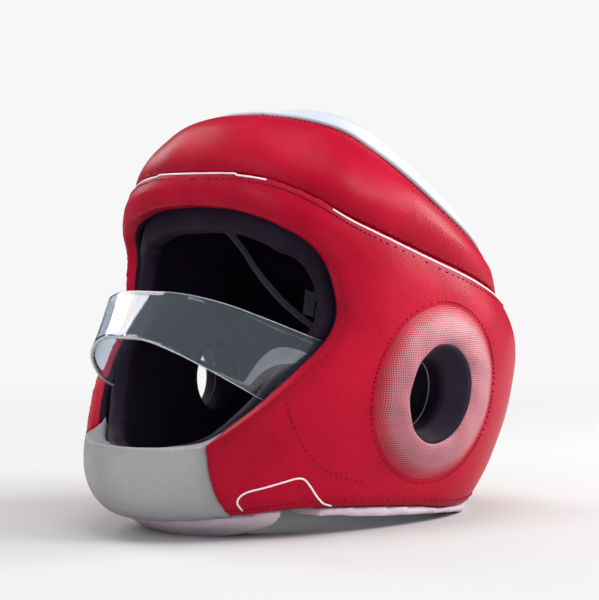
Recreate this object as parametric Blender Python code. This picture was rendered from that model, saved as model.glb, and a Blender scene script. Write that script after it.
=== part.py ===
"""Boxing headgear with a face opening, a clear visor and padded rings round the ear holes.

Units are metres. The wearer faces -Y, their left is +X, and the headgear stands on z = 0.
The shell's form is a stack of sections from the crown down to the base. Each wall is the same
form set inward by its depth, so the pieces nest with a constant gap.
"""

import math

import bmesh
import bpy
import numpy as np
from mathutils import Matrix, Vector

# Overall sizes of the shell
HEIGHT = 0.290
LENGTH = 0.345
SHELL_WIDTH = 0.240

# Walls, from the outside in
SHELL_WALL = 0.015
LINING_WALL = 0.014
CROWN_PAD_WALL = 0.009
GAP = 0.0003

# Face opening: the lining shows inside it as a frame
FRAME_WIDTH = 0.015
FRAME_SIDE_SHARE = 0.40
FRAME_SIDE_RISE = (0.23, 0.45)
FRAME_BROW_RISE = (0.60, 0.74)
CHIN_PAD_WIDTH = 0.122

# Ear holes and the pads round them
EAR_HOLE_CENTRE_Y = 0.004
EAR_CREST_CENTRE_Y = 0.0165
EAR_RING_CENTRE_Y = 0.024
EAR_CENTRE_Z = 0.094
EAR_HOLE_LENGTH = 0.044
EAR_HOLE_HEIGHT = 0.054
EAR_CREST_LENGTH = 0.072
EAR_CREST_HEIGHT = 0.072
EAR_RING_LENGTH = 0.128
EAR_RING_HEIGHT = 0.124
EAR_RING_THICKNESS = 0.012
EAR_LEAN = 10.0

# Visor
VISOR_THICKNESS = 0.0025
VISOR_CLEARANCE = 0.0016
VISOR_TUCK = 0.010

# Crown panel, piping and the tabs inside
CROWN_PIPING_DIAMETER = 0.0036
PAD_PIPING_DIAMETER = 0.0050
TAB_WIDTH = 0.012
TAB_LENGTH = 0.028
TAB_THICKNESS = 0.0016

# Places along the head, as shares of HALF_LENGTH, and the tabs' height as a share of HEIGHT
CHIN_PAD_BACK = -0.30
TRIM_FRONT = -0.36
UNDERPAD_BACK = -0.50
TAB_ALONG = 0.585
TAB_UP = 0.505
TAB_LEAN = 0.25

# Where the pad's piping starts, in degrees from +X round the head, and the pipings' points
PAD_PIPING_START = -42.0
PAD_PIPING_POINTS = 22
CROWN_PIPING_POINTS = 32

# Base: the trim is what the headgear stands on at the back, the underpad at the chin
TRIM_WIDTH = 0.024
TRIM_SETBACK = 0.002
UNDERPAD_SETBACK = 0.004
UNDERPAD_WIDTH = 0.024
UNDERPAD_SPAN = 0.160
UNDERPAD_RISE = 0.016

# Grid of the form
COLUMNS = 32
ROWS_DOWN = 17

HALF_LENGTH = LENGTH / 2
HALF_WIDTH = SHELL_WIDTH / 2
LINING_DEPTH = SHELL_WALL + GAP
PAD_DEPTH = LINING_DEPTH + LINING_WALL + GAP
FAR = 2 * LENGTH

# The form's sections, the last one below the base so that pieces can be cut flat at z = 0.
# height is a share of HEIGHT, front, back and middle are shares of
# HALF_LENGTH along Y, half_width is a share of HALF_WIDTH, and the powers set how square the
# front and back halves are, with 2 an ellipse.
# height, front, back, half_width, front_power, back_power, middle
SECTIONS = (
    (1.000, -0.078, -0.078, 0.000, 2.0, 2.0, -0.078),
    (0.990, -0.275, 0.061, 0.300, 2.1, 2.0, -0.078),
    (0.959, -0.426, 0.171, 0.517, 2.3, 2.1, -0.067),
    (0.914, -0.501, 0.215, 0.667, 2.6, 2.2, -0.043),
    (0.855, -0.555, 0.315, 0.817, 2.9, 2.3, -0.009),
    (0.793, -0.580, 0.445, 0.917, 3.1, 2.4, 0.026),
    (0.724, -0.608, 0.608, 0.967, 3.1, 2.5, 0.061),
    (0.648, -0.668, 0.738, 0.992, 2.8, 2.5, 0.084),
    (0.552, -0.780, 0.876, 1.000, 2.9, 2.5, 0.084),
    (0.431, -0.880, 1.000, 0.992, 2.8, 2.6, 0.084),
    (0.310, -0.945, 0.994, 0.967, 2.4, 2.6, 0.084),
    (0.214, -0.988, 0.942, 0.933, 2.1, 2.6, 0.084),
    (0.145, -1.000, 0.884, 0.900, 2.0, 2.6, 0.084),
    (0.090, -0.965, 0.826, 0.867, 2.0, 2.6, 0.084),
    (0.041, -0.878, 0.785, 0.833, 2.0, 2.6, 0.084),
    (0.000, -0.740, 0.762, 0.808, 2.0, 2.6, 0.084),
    (-0.035, -0.640, 0.742, 0.785, 2.0, 2.6, 0.084),
)

# Half of the face opening seen from the front: across as a share of HALF_WIDTH, up of HEIGHT
# across, up
FACE_OPENING = (
    (0.000, 0.772),
    (0.290, 0.765),
    (0.460, 0.752),
    (0.620, 0.733),
    (0.790, 0.695),
    (0.885, 0.647),
    (0.940, 0.583),
    (0.955, 0.517),
    (0.931, 0.450),
    (0.866, 0.386),
    (0.764, 0.325),
    (0.640, 0.268),
    (0.508, 0.226),
    (0.300, 0.220),
    (0.000, 0.219),
)

# Seam between the lower and upper shells, seen from the side
# along as a share of HALF_LENGTH, up of HEIGHT
CROWN_SEAM = (
    (-1.400, 0.871),
    (-0.640, 0.859),
    (-0.540, 0.847),
    (-0.420, 0.793),
    (-0.300, 0.743),
    (-0.080, 0.689),
    (0.150, 0.641),
    (0.380, 0.599),
    (0.600, 0.561),
    (0.900, 0.521),
    (1.400, 0.461),
)

# Lower edge of the shell and lining, then of the trim, seen from the side
BASE_EDGE = (
    (-1.400, 0.035),
    (-0.900, 0.035),
    (-0.760, 0.050),
    (-0.480, 0.068),
    (-0.200, 0.063),
    (0.150, 0.046),
    (0.450, 0.028),
    (1.400, 0.028),
)

# Lower edge of the trim, which runs below z = 0 where the trim stands flat on its base
TRIM_EDGE = (
    (-1.400, 0.010),
    (-0.760, 0.020),
    (-0.360, 0.047),
    (-0.150, 0.037),
    (0.100, 0.027),
    (0.300, 0.018),
    (0.480, 0.008),
    (0.620, -0.006),
    (1.400, -0.060),
)

# Lower edge of the inner crown pad, seen from the side
PAD_EDGE = (
    (-1.400, 0.815),
    (-0.420, 0.812),
    (-0.020, 0.770),
    (0.160, 0.705),
    (0.310, 0.610),
    (0.430, 0.550),
    (0.560, 0.500),
    (0.720, 0.450),
    (0.950, 0.420),
    (1.400, 0.410),
)

# Visor edges: x as a share of HALF_WIDTH, y of HALF_LENGTH and z of HEIGHT
# x, y, z
VISOR_TOP = (
    (0.000, -0.786, 0.569),
    (0.180, -0.780, 0.568),
    (0.350, -0.758, 0.560),
    (0.520, -0.700, 0.541),
    (0.660, -0.590, 0.508),
)
VISOR_BOTTOM = (
    (0.000, -0.936, 0.467),
    (0.170, -0.925, 0.464),
    (0.340, -0.885, 0.440),
    (0.500, -0.805, 0.400),
    (0.620, -0.690, 0.352),
)
VISOR_END_TOP = 0.455
VISOR_END_BOTTOM = 0.300

# Lower edge of the crown panel, seen from the side: it crosses the crown and falls to the back
PANEL_EDGE = (
    (-1.400, 1.300),
    (-0.360, 1.030),
    (-0.270, 0.990),
    (-0.160, 0.965),
    (-0.080, 0.938),
    (-0.020, 0.895),
    (0.060, 0.840),
    (0.155, 0.790),
    (0.300, 0.735),
    (0.500, 0.675),
    (0.750, 0.625),
    (1.050, 0.590),
    (1.400, 0.560),
)


# Section of an ear ring: across from the hole (-1) over the crest (0) to the outer edge (1)
# across, rise as a share of EAR_RING_THICKNESS
RING_PROFILE = (
    (-1.00, -0.30),
    (-0.92, 0.10),
    (-0.40, 0.74),
    (0.00, 1.00),
    (0.45, 0.84),
    (1.00, -0.30),
)


def clear_scene():
    for item in list(bpy.data.objects):
        bpy.data.objects.remove(item, do_unlink=True)


def collection(name):
    made = bpy.data.collections.new(name)
    bpy.context.scene.collection.children.link(made)
    return made


def material(name, colour, roughness, metallic=0.0, transmission=0.0):
    made = bpy.data.materials.new(name)
    made.use_nodes = True
    shader = made.node_tree.nodes["Principled BSDF"]
    shader.inputs["Base Color"].default_value = (*colour, 1.0)
    shader.inputs["Roughness"].default_value = roughness
    shader.inputs["Metallic"].default_value = metallic
    shader.inputs["Transmission Weight"].default_value = transmission
    return made


def spline(points, where):
    """A smooth curve through the points, read at where, from 0 to the last point's number."""
    points = np.asarray(points, float)
    ends = np.vstack([2 * points[0] - points[1], points, 2 * points[-1] - points[-2]])
    where = np.clip(np.asarray(where, float), 0, len(points) - 1 - 1e-9)
    first = where.astype(int)
    part = (where - first)[..., None]
    a, b, c, d = (ends[first + step] for step in range(4))
    bend = 2 * a - 5 * b + 4 * c - d
    turn = 3 * b - a - 3 * c + d
    return 0.5 * (2 * b + (c - a) * part + bend * part**2 + turn * part**3)


def evenly(line, count):
    """The line again, as count points with the same distance between them."""
    steps = np.linalg.norm(np.diff(line, axis=0), axis=1)
    along = np.concatenate([[0.0], np.cumsum(steps)])
    at = np.linspace(0, along[-1], count)
    return np.stack([np.interp(at, along, line[:, axis]) for axis in range(line.shape[1])], -1)


# The section table in metres
ROWS = np.array(SECTIONS) * [HEIGHT, HALF_LENGTH, HALF_LENGTH, HALF_WIDTH, 1.0, 1.0, HALF_LENGTH]


def sections_at(place):
    """The section at a place down the table, from 0 at the crown, where a mirrored row closes
    the form round."""
    place = np.clip(np.asarray(place, float), 0, len(ROWS) - 1 - 1e-9)
    apex, first = ROWS[0], ROWS[1]
    above = first.copy()
    above[1] = 2 * apex[1] - first[1]
    above[2] = 2 * apex[2] - first[2]
    above[3] = -first[3]
    rows = np.vstack([above, ROWS, 2 * ROWS[-1] - ROWS[-2]])
    lower = place.astype(int)
    part = (place - lower)[..., None]
    a, b, c, d = (rows[lower + step] for step in range(4))
    bend = 2 * a - 5 * b + 4 * c - d
    turn = 3 * b - a - 3 * c + d
    return 0.5 * (2 * b + (c - a) * part + bend * part**2 + turn * part**3)


def form(place, angle):
    """Points of the outer form: place runs down from the crown, angle round it from +X."""
    row = sections_at(place)
    across = np.cos(angle)
    along = np.sin(angle)
    ahead = along < 0
    reach = np.where(ahead, row[..., 6] - row[..., 1], row[..., 2] - row[..., 6])
    power = np.where(ahead, row[..., 4], row[..., 5])
    size = (np.abs(across) ** power + np.abs(along) ** power) ** (-1 / power)
    x = row[..., 3] * across * size
    y = row[..., 6] + reach * along * size
    return np.stack(np.broadcast_arrays(x, y, row[..., 0]), -1)


def inset_form(place, angle, depth):
    """The form's points, moved inward along its normal by depth."""
    place = np.maximum(np.asarray(place, float), 1e-3)
    step = 1e-3
    down = form(place + step, angle) - form(place, angle)
    round_ = form(place, angle + step) - form(place, angle - step)
    normal = np.cross(down, round_)
    normal /= np.maximum(np.linalg.norm(normal, axis=-1, keepdims=True), 1e-12)
    return form(place, angle) - normal * depth, normal


def place_of_height(z):
    """How far down the table a height lies."""
    low = np.zeros_like(np.asarray(z, float))
    high = np.full_like(low, len(ROWS) - 1.0)
    for _ in range(40):
        middle = (low + high) / 2
        above = sections_at(middle)[..., 0] > z
        low = np.where(above, middle, low)
        high = np.where(above, high, middle)
    return (low + high) / 2


def point_on_form(across, up, depth, by="x", behind=False):
    """The form's point and normal at a height and an x on the front or the back, or a y on +X."""
    place = place_of_height(up)
    row = sections_at(place)
    if by == "x":
        share = np.clip(np.abs(across) / row[..., 3], 0, 1)
        power = row[..., 5] if behind else row[..., 4]
        rest = (1 - share**power) ** (1 / power)
        angle = np.arctan2(rest if behind else -rest, share * np.sign(across + 1e-12))
    else:
        ahead = across < row[..., 6]
        reach = np.where(ahead, row[..., 6] - row[..., 1], row[..., 2] - row[..., 6])
        power = np.where(ahead, row[..., 4], row[..., 5])
        share = np.clip((across - row[..., 6]) / reach, -1, 1)
        rest = (1 - np.abs(share) ** power) ** (1 / power)
        angle = np.arctan2(share, rest)
    return inset_form(place, angle, depth)


def edge_loop(table, rise, depth, count, start=0.0, turn=2 * math.pi):
    """Where a side outline, moved up by rise, runs round the form, from one angle on."""
    line = side_curve(table, 60)
    angle = start + np.linspace(0, turn, count, endpoint=turn < 2 * math.pi)
    low = np.full(count, 1e-3)
    high = np.full(count, len(ROWS) - 1.0)
    for _ in range(40):
        middle = (low + high) / 2
        point = form(middle, angle)
        above = point[:, 2] > np.interp(point[:, 1], line[:, 0], line[:, 1]) + rise
        low = np.where(above, middle, low)
        high = np.where(above, high, middle)
    return inset_form((low + high) / 2, angle, depth)[0]


def add_mesh(name, points, faces, group, finish=None):
    """A closed mesh object whose faces point out."""
    mesh = bpy.data.meshes.new(name)
    shape = bmesh.new()
    corners = [shape.verts.new(tuple(map(float, point))) for point in points]
    for face in faces:
        shape.faces.new([corners[i] for i in face])
    bmesh.ops.recalc_face_normals(shape, faces=shape.faces)
    shape.to_mesh(mesh)
    shape.free()
    made = bpy.data.objects.new(name, mesh)
    group.objects.link(made)
    if finish is not None:
        mesh.materials.append(finish)
        mesh.shade_smooth()
        mesh.set_sharp_from_angle(angle=math.radians(35))
    else:
        made.hide_render = True
        made.display_type = "WIRE"
    return made


def strip_faces(rows, columns, first=0, closed=True, split=False):
    """Faces of a grid of points, row by row. split makes each a pair of triangles, so that the
    skins of nested walls bend along the same diagonals and keep their gap."""
    faces = []
    count = columns if closed else columns - 1
    for i in range(rows - 1):
        for j in range(count):
            a = first + i * columns + j
            b = first + i * columns + (j + 1) % columns
            if split:
                faces.append((a, b, b + columns))
                faces.append((a, b + columns, a + columns))
            else:
                faces.append((a, b, b + columns, a + columns))
    return faces


def grid_places():
    places = np.linspace(0, len(ROWS) - 1, ROWS_DOWN)[1:]
    angles = np.arange(COLUMNS) * 2 * math.pi / COLUMNS
    return places, angles


def wall(name, outer_depth, inner_depth, group, finish=None):
    """The form as a closed wall between two depths, open at the base. A loft between unlike
    sections, which no primitive or modifier makes."""
    places, angles = grid_places()
    points, faces = [], []
    for depth in (outer_depth, inner_depth):
        skin, _ = inset_form(places[:, None], angles[None, :], depth)
        top = form(0.0, 0.0) - np.array([0, 0, depth])
        start = len(points)
        points.append(top)
        points.extend(skin.reshape(-1, 3))
        for j in range(COLUMNS):
            faces.append((start, start + 1 + j, start + 1 + (j + 1) % COLUMNS))
        faces.extend(strip_faces(len(places), COLUMNS, start + 1, split=True))
    side = 1 + len(places) * COLUMNS
    edge = 1 + (len(places) - 1) * COLUMNS
    for j in range(COLUMNS):
        k = (j + 1) % COLUMNS
        faces.append((edge + j, edge + k, side + edge + k, side + edge + j))
    return add_mesh(name, points, faces, group, finish)


def solid_form(name, depth, group):
    """The form as one filled solid, down past the base, for cutting what lies on it."""
    places, angles = grid_places()
    skin, _ = inset_form(places[:, None], angles[None, :], depth)
    points = [form(0.0, 0.0) - np.array([0, 0, depth])]
    points.extend(skin.reshape(-1, 3))
    faces = [(0, 1 + j, 1 + (j + 1) % COLUMNS) for j in range(COLUMNS)]
    faces.extend(strip_faces(len(places), COLUMNS, 1, split=True))
    edge = 1 + (len(places) - 1) * COLUMNS
    faces.append([edge + j for j in range(COLUMNS)])
    return add_mesh(name, points, faces, group)


def side_curve(table, count, shift=0.0):
    """A side outline in metres, moved up by shift."""
    where = np.linspace(0, len(table) - 1, count)
    curve = spline(table, where) * np.array([HALF_LENGTH, HEIGHT])
    return curve + np.array([0.0, shift])


def side_zone(name, low, high, group, across=FAR):
    """A block between two side outlines, across the whole headgear."""
    outline = list(low) + list(high[::-1])
    count = len(outline)
    points = [(-across, y, z) for y, z in outline] + [(across, y, z) for y, z in outline]
    half = len(low)
    faces = [(i, i + 1, count + i + 1, count + i) for i in range(count - 1)]
    faces.append((count - 1, 0, count, 2 * count - 1))
    for i in range(half - 1):
        j = count - 1 - i
        faces.append((i, i + 1, j - 1, j))
        faces.append((count + i, count + i + 1, count + j - 1, count + j))
    return add_mesh(name, points, faces, group)


def front_zone(name, span, group):
    """A block with a bellied lower side, seen from the front, for the pad under the chin."""
    across = np.linspace(-1, 1, 13)
    low = [(share * span / 2, UNDERPAD_RISE * abs(share) ** 4) for share in across]
    outline = low + [(span / 2, HEIGHT), (-span / 2, HEIGHT)]
    count = len(outline)
    points = [(x, y, z) for y in (-FAR, FAR) for x, z in outline]
    faces = strip_faces(2, count)
    faces.append(list(range(count)))
    faces.append(list(range(count, 2 * count)))
    return add_mesh(name, points, faces, group)


def level(z, count):
    return np.stack([np.linspace(-1.4 * HALF_LENGTH, 1.4 * HALF_LENGTH, count), np.full(count, z)], -1)


def rim_loop(frame):
    """The face opening's edge on the form, with its outward normals and inward directions."""
    half = spline(FACE_OPENING, np.linspace(0, len(FACE_OPENING) - 1, 20))
    half = half * np.array([HALF_WIDTH, HEIGHT])
    half[0, 0] = half[-1, 0] = 0.0
    loop = np.vstack([half, half[-2:0:-1] * np.array([-1, 1])])
    points, normals = point_on_form(loop[:, 0], loop[:, 1], 0.0)
    ahead = np.roll(points, -1, 0) - np.roll(points, 1, 0)
    inward = np.cross(normals, ahead)
    inward /= np.linalg.norm(inward, axis=1, keepdims=True)
    centre = points.mean(0)
    if np.sum((centre - points) * inward) < 0:
        inward = -inward
    return points + inward * frame, normals


def eased(value, low, high):
    """From 0 at low to 1 at high, smoothly."""
    share = np.clip((value - low) / (high - low), 0, 1)
    return share * share * (3 - 2 * share)


def frame_share(up):
    """The frame is full width over the brow, narrow beside the eyes and nothing at the chin."""
    beside = eased(up / HEIGHT, *FRAME_SIDE_RISE)
    over = eased(up / HEIGHT, *FRAME_BROW_RISE)
    return beside * (FRAME_SIDE_SHARE + (1 - FRAME_SIDE_SHARE) * over)


def opening_cutter(name, frame, group):
    """A plug that cuts the face opening square to the form's surface."""
    base, normals = rim_loop(0.0)
    inward = rim_loop(1.0)[0] - base
    width = frame * frame_share(base[:, 2])
    base = base + inward * width[:, None]
    depth = SHELL_WALL + LINING_WALL + CROWN_PAD_WALL
    rings = [base + normals * 0.12 * LENGTH, base + normals * 0.002, base - normals * depth]
    count = len(base)
    points = [point for ring in rings for point in ring]
    middle_height = base[:, 2].mean()
    points.append((0, -0.95 * LENGTH, middle_height))
    points.append((0, base[:, 1].max(), middle_height))
    faces = strip_faces(3, count)
    for j in range(count):
        faces.append((3 * count, j, (j + 1) % count))
        faces.append((3 * count + 1, 2 * count + j, 2 * count + (j + 1) % count))
    return add_mesh(name, points, faces, group)


def ear_outline(length, height, centre, count):
    """A leaning ellipse round the ear, as y and z."""
    turn = np.arange(count) * 2 * math.pi / count
    lean = math.radians(EAR_LEAN)
    along = length / 2 * np.cos(turn)
    up = height / 2 * np.sin(turn)
    y = centre + along * math.cos(lean) + up * math.sin(lean)
    z = EAR_CENTRE_Z + up * math.cos(lean) - along * math.sin(lean)
    return y, z


def ear_band(across, count):
    """The outline at a share of the way from the hole over the crest to the ring's edge."""
    middle = (EAR_CREST_LENGTH, EAR_CREST_HEIGHT, EAR_CREST_CENTRE_Y)
    if across < 0:
        far = (EAR_HOLE_LENGTH, EAR_HOLE_HEIGHT, EAR_HOLE_CENTRE_Y)
    else:
        far = (EAR_RING_LENGTH, EAR_RING_HEIGHT, EAR_RING_CENTRE_Y)
    length, height, centre = np.array(middle) + abs(across) * (np.array(far) - np.array(middle))
    return ear_outline(length, height, centre, count)


def ear_cutter(name, extra, group):
    """One bar through both ear holes."""
    count = 24
    length = EAR_HOLE_LENGTH + 2 * extra
    y, z = ear_outline(length, EAR_HOLE_HEIGHT + 2 * extra, EAR_HOLE_CENTRE_Y, count)
    points = [(x, y[i], z[i]) for x in (-SHELL_WIDTH, SHELL_WIDTH) for i in range(count)]
    faces = strip_faces(2, count)
    faces.append(list(range(count)))
    faces.append(list(range(count, 2 * count)))
    return add_mesh(name, points, faces, group)


def boolean(piece, cutter, operation="DIFFERENCE"):
    step = piece.modifiers.new(cutter.name, "BOOLEAN")
    step.operation = operation
    step.solver = "EXACT"
    step.object = cutter


def ear_ring(name, side, group, cutters, finish):
    """A raised pad that slopes down into one ear hole, seated on the shell."""
    count = 24
    rings = []
    for across, rise in RING_PROFILE:
        y, z = ear_band(across, count)
        seat, _ = point_on_form(y, z, 0.0, by="y")
        x = seat[:, 0] + rise * EAR_RING_THICKNESS
        rings.append(np.stack([side * x, y, z], -1))
    points = np.vstack(rings)
    faces = strip_faces(len(RING_PROFILE), count)
    last = (len(RING_PROFILE) - 1) * count
    for j in range(count):
        k = (j + 1) % count
        faces.append((j, k, last + k, last + j))
    ring = add_mesh(name, points, faces, group, finish)
    boolean(ring, cutters["form_outside"])
    return ring


def visor_grid():
    """Points of the visor's outer face from end to end, and its normals."""
    rows = 4
    lanes = []
    ends = []
    heights = np.linspace(VISOR_END_TOP, VISOR_END_BOTTOM, rows) * HEIGHT
    rim, _ = rim_loop(0.0)
    near = rim[rim[:, 0] > 0]
    order = np.argsort(near[:, 2])
    near = near[order]
    rim_y = np.interp(heights, near[:, 2], near[:, 1])
    depth = SHELL_WALL + VISOR_CLEARANCE
    for step in (0.3, 1.0):
        at_y = rim_y + step * VISOR_TUCK
        ends.append(point_on_form(at_y, heights, depth, by="y")[0])
    top = np.array(VISOR_TOP) * np.array([HALF_WIDTH, HALF_LENGTH, HEIGHT])
    bottom = np.array(VISOR_BOTTOM) * np.array([HALF_WIDTH, HALF_LENGTH, HEIGHT])
    for row in range(rows):
        share = row / (rows - 1)
        lane = top * (1 - share) + bottom * share
        lane = np.vstack([lane, [end[row] for end in ends]])
        # the last two points lie behind the shell's edge
        lanes.append(evenly(spline(lane, np.linspace(0, len(lane) - 1, 120)), 11))
    half = np.array(lanes)
    other = half[:, :0:-1] * np.array([-1, 1, 1])
    return np.concatenate([other, half], 1)


def visor(name, group, finish=None, extra=0.0):
    """The clear band. extra makes it thicker all round, for cutting its slot in the lining,
    which is open on the shell's side."""
    grid = visor_grid()
    rows, columns = grid.shape[:2]
    across = np.gradient(grid, axis=1)
    down = np.gradient(grid, axis=0)
    normal = np.cross(down, across)
    normal /= np.linalg.norm(normal, axis=-1, keepdims=True)
    if normal[rows // 2, columns // 2, 1] > 0:
        normal = -normal
    along = across / np.linalg.norm(across, axis=-1, keepdims=True)
    up = -down / np.linalg.norm(down, axis=-1, keepdims=True)
    grid[0] += up[0] * extra
    grid[-1] -= up[-1] * extra
    grid[:, 0] -= along[:, 0] * extra
    grid[:, -1] += along[:, -1] * extra
    outer = grid + normal * (extra + 3 * VISOR_CLEARANCE if extra else 0.0)
    inner = grid - normal * (VISOR_THICKNESS + extra)
    points = np.concatenate([outer.reshape(-1, 3), inner.reshape(-1, 3)])
    size = rows * columns
    faces = strip_faces(rows, columns, 0, closed=False, split=True)
    faces += strip_faces(rows, columns, size, closed=False, split=True)
    border = list(range(columns))
    border += [i * columns + columns - 1 for i in range(1, rows)]
    border += [(rows - 1) * columns + j for j in range(columns - 2, -1, -1)]
    border += [i * columns for i in range(rows - 2, 0, -1)]
    for i, a in enumerate(border):
        b = border[(i + 1) % len(border)]
        faces.append((a, b, size + b, size + a))
    return add_mesh(name, points, faces, group, finish)


def tube(name, route, diameter, group, finish, cyclic=False):
    """A piping cord along a route, as a mesh with welded caps."""
    path = bpy.data.curves.new(name + "_path", "CURVE")
    path.dimensions = "3D"
    path.bevel_depth = diameter / 2
    path.bevel_resolution = 1
    path.use_fill_caps = True
    line = path.splines.new("POLY")
    line.points.add(len(route) - 1)
    for point, place in zip(line.points, route):
        point.co = (*map(float, place), 1.0)
    line.use_cyclic_u = cyclic
    holder = bpy.data.objects.new(name + "_path", path)
    group.objects.link(holder)
    evaluated = holder.evaluated_get(bpy.context.evaluated_depsgraph_get())
    mesh = bpy.data.meshes.new_from_object(evaluated)
    bpy.data.objects.remove(holder, do_unlink=True)
    shape = bmesh.new()
    shape.from_mesh(mesh)
    bmesh.ops.remove_doubles(shape, verts=shape.verts, dist=1e-6)
    bmesh.ops.recalc_face_normals(shape, faces=shape.faces)
    shape.to_mesh(mesh)
    shape.free()
    made = bpy.data.objects.new(name, mesh)
    group.objects.link(made)
    if finish is not None:
        mesh.materials.clear()
        mesh.materials.append(finish)
        mesh.shade_smooth()
    else:
        made.hide_render = True
        made.display_type = "WIRE"
    return made


def crown_piping_route():
    """Round the crown panel's lower edge."""
    return edge_loop(PANEL_EDGE, 0.0, 0.0, CROWN_PIPING_POINTS)


def pad_piping_route():
    """Along the inner crown pad's lower edge, from temple to temple round the back."""
    depth = LINING_DEPTH + LINING_WALL + 2 * GAP + PAD_PIPING_DIAMETER / 2
    drop = PAD_PIPING_DIAMETER / 2 + 2 * GAP
    temple = math.radians(PAD_PIPING_START)
    return edge_loop(PAD_EDGE, -drop, depth, PAD_PIPING_POINTS, temple, math.pi - 2 * temple)


def side_tab(name, side, group, cutters, finish):
    """A flat webbing tab lying on the inner crown pad."""
    depth = PAD_DEPTH + CROWN_PAD_WALL
    y = np.linspace(-0.5, 0.5, 3) * TAB_WIDTH + TAB_ALONG * HALF_LENGTH
    z = np.linspace(0, 1, 4) * TAB_LENGTH + TAB_UP * HEIGHT
    across, up = np.meshgrid(y, z)
    layers = []
    for extra in (-TAB_THICKNESS, TAB_THICKNESS):
        lean = across + (up - up[0, 0]) * TAB_LEAN
        points, _ = point_on_form(lean.ravel(), up.ravel(), depth + extra, by="y")
        points[:, 0] *= side
        layers.append(points)
    points = np.vstack(layers)
    rows, columns = across.shape
    size = rows * columns
    faces = strip_faces(rows, columns, 0, closed=False) + strip_faces(rows, columns, size, closed=False)
    border = list(range(columns))
    border += [i * columns + columns - 1 for i in range(1, rows)]
    border += [(rows - 1) * columns + j for j in range(columns - 2, -1, -1)]
    border += [i * columns for i in range(rows - 2, 0, -1)]
    for i, a in enumerate(border):
        b = border[(i + 1) % len(border)]
        faces.append((a, b, size + b, size + a))
    tab = add_mesh(name, points, faces, group, finish)
    boolean(tab, cutters["pad_inside"])
    return tab


def box_cutter(name, low, high, group):
    low, high = np.array(low), np.array(high)
    bpy.ops.mesh.primitive_cube_add(size=1.0)
    made = bpy.context.active_object
    made.name = name
    place = Matrix.Translation(Vector((low + high) / 2))
    made.data.transform(place @ Matrix.Diagonal((*(high - low), 1.0)))
    for holder in list(made.users_collection):
        holder.objects.unlink(made)
    group.objects.link(made)
    made.hide_render = True
    made.display_type = "WIRE"
    return made


def finishes():
    return {
        "red": material("red_leather", (0.55, 0.006, 0.035), 0.45),
        "white": material("white_leather", (0.62, 0.64, 0.72), 0.4),
        "grey": material("grey_leather", (0.50, 0.50, 0.50), 0.45),
        "black": material("black_lining", (0.012, 0.009, 0.016), 0.6),
        "piping": material("grey_webbing", (0.22, 0.20, 0.23), 0.6),
        "trim": material("trim_leather", (0.62, 0.50, 0.60), 0.5),
        "mesh": material("mesh_fabric", (0.55, 0.25, 0.28), 0.6),
        "clear": material("clear_plastic", (0.9, 0.93, 0.95), 0.04, transmission=1.0),
    }


def make_cutters(group):
    count = 22
    seam = side_curve(CROWN_SEAM, count)
    panel = side_curve(PANEL_EDGE, count + 8)
    base = side_curve(BASE_EDGE, count)
    pad_edge = side_curve(PAD_EDGE, count)
    high = level(1.6 * HEIGHT, count)
    low = level(-0.3 * HEIGHT, count)
    up = np.array([0, GAP / 2])
    half_chin = CHIN_PAD_WIDTH / 2
    floor = low[0, 1]
    chin_top = 0.40 * HEIGHT
    back = CHIN_PAD_BACK * HALF_LENGTH
    chin_low = (-half_chin + GAP / 2, -FAR, floor)
    chin_high = (half_chin - GAP / 2, back, chin_top)
    space_low = (-half_chin - GAP / 2, -FAR, floor)
    space_high = (half_chin + GAP / 2, back, chin_top)
    trim_start = (-FAR, TRIM_FRONT * HALF_LENGTH, 0.0)
    underpad_end = (FAR, UNDERPAD_BACK * HALF_LENGTH, HEIGHT)
    groove = CROWN_PIPING_DIAMETER + 2 * GAP
    piping = crown_piping_route()
    return {
        "above_seam": side_zone("above_seam", seam + up, high, group),
        "above_panel": side_zone("above_panel", panel + up, level(1.6 * HEIGHT, count + 8), group),
        "panel_space": side_zone("panel_space", panel - up, level(1.6 * HEIGHT, count + 8), group),
        "shell_zone": side_zone("shell_zone", base, seam - up, group),
        "above_base": side_zone("above_base", base, high, group),
        "trim_zone": side_zone("trim_zone", side_curve(TRIM_EDGE, count), base - [0, GAP], group),
        "above_pad_edge": side_zone("above_pad_edge", pad_edge, high, group),
        "shell_opening": opening_cutter("shell_opening", 0.0, group),
        "lining_opening": opening_cutter("lining_opening", FRAME_WIDTH, group),
        "ear_holes": ear_cutter("ear_holes", 0.0, group),
        "lining_inside": wall("lining_inside", LINING_DEPTH, LINING_DEPTH + LINING_WALL + GAP, group),
        "pad_inside": wall("pad_inside", PAD_DEPTH, PAD_DEPTH + CROWN_PAD_WALL + GAP, group),
        "form_outside": solid_form("form_outside", -GAP, group),
        "chin_zone": box_cutter("chin_zone", chin_low, chin_high, group),
        "chin_space": box_cutter("chin_space", space_low, space_high, group),
        "visor_slot": visor("visor_slot", group, extra=2 * GAP),
        "piping_groove": tube("piping_groove", piping, groove, group, None, cyclic=True),
        "trim_behind": box_cutter("trim_behind", trim_start, (FAR, FAR, HEIGHT), group),
        "underpad_round": front_zone("underpad_round", UNDERPAD_SPAN, group),
        "underpad_ahead": box_cutter("underpad_ahead", (-FAR, -FAR, -FAR), underpad_end, group),
        "below_base": side_zone("below_base", low, base - [0, GAP], group),
    }


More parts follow.
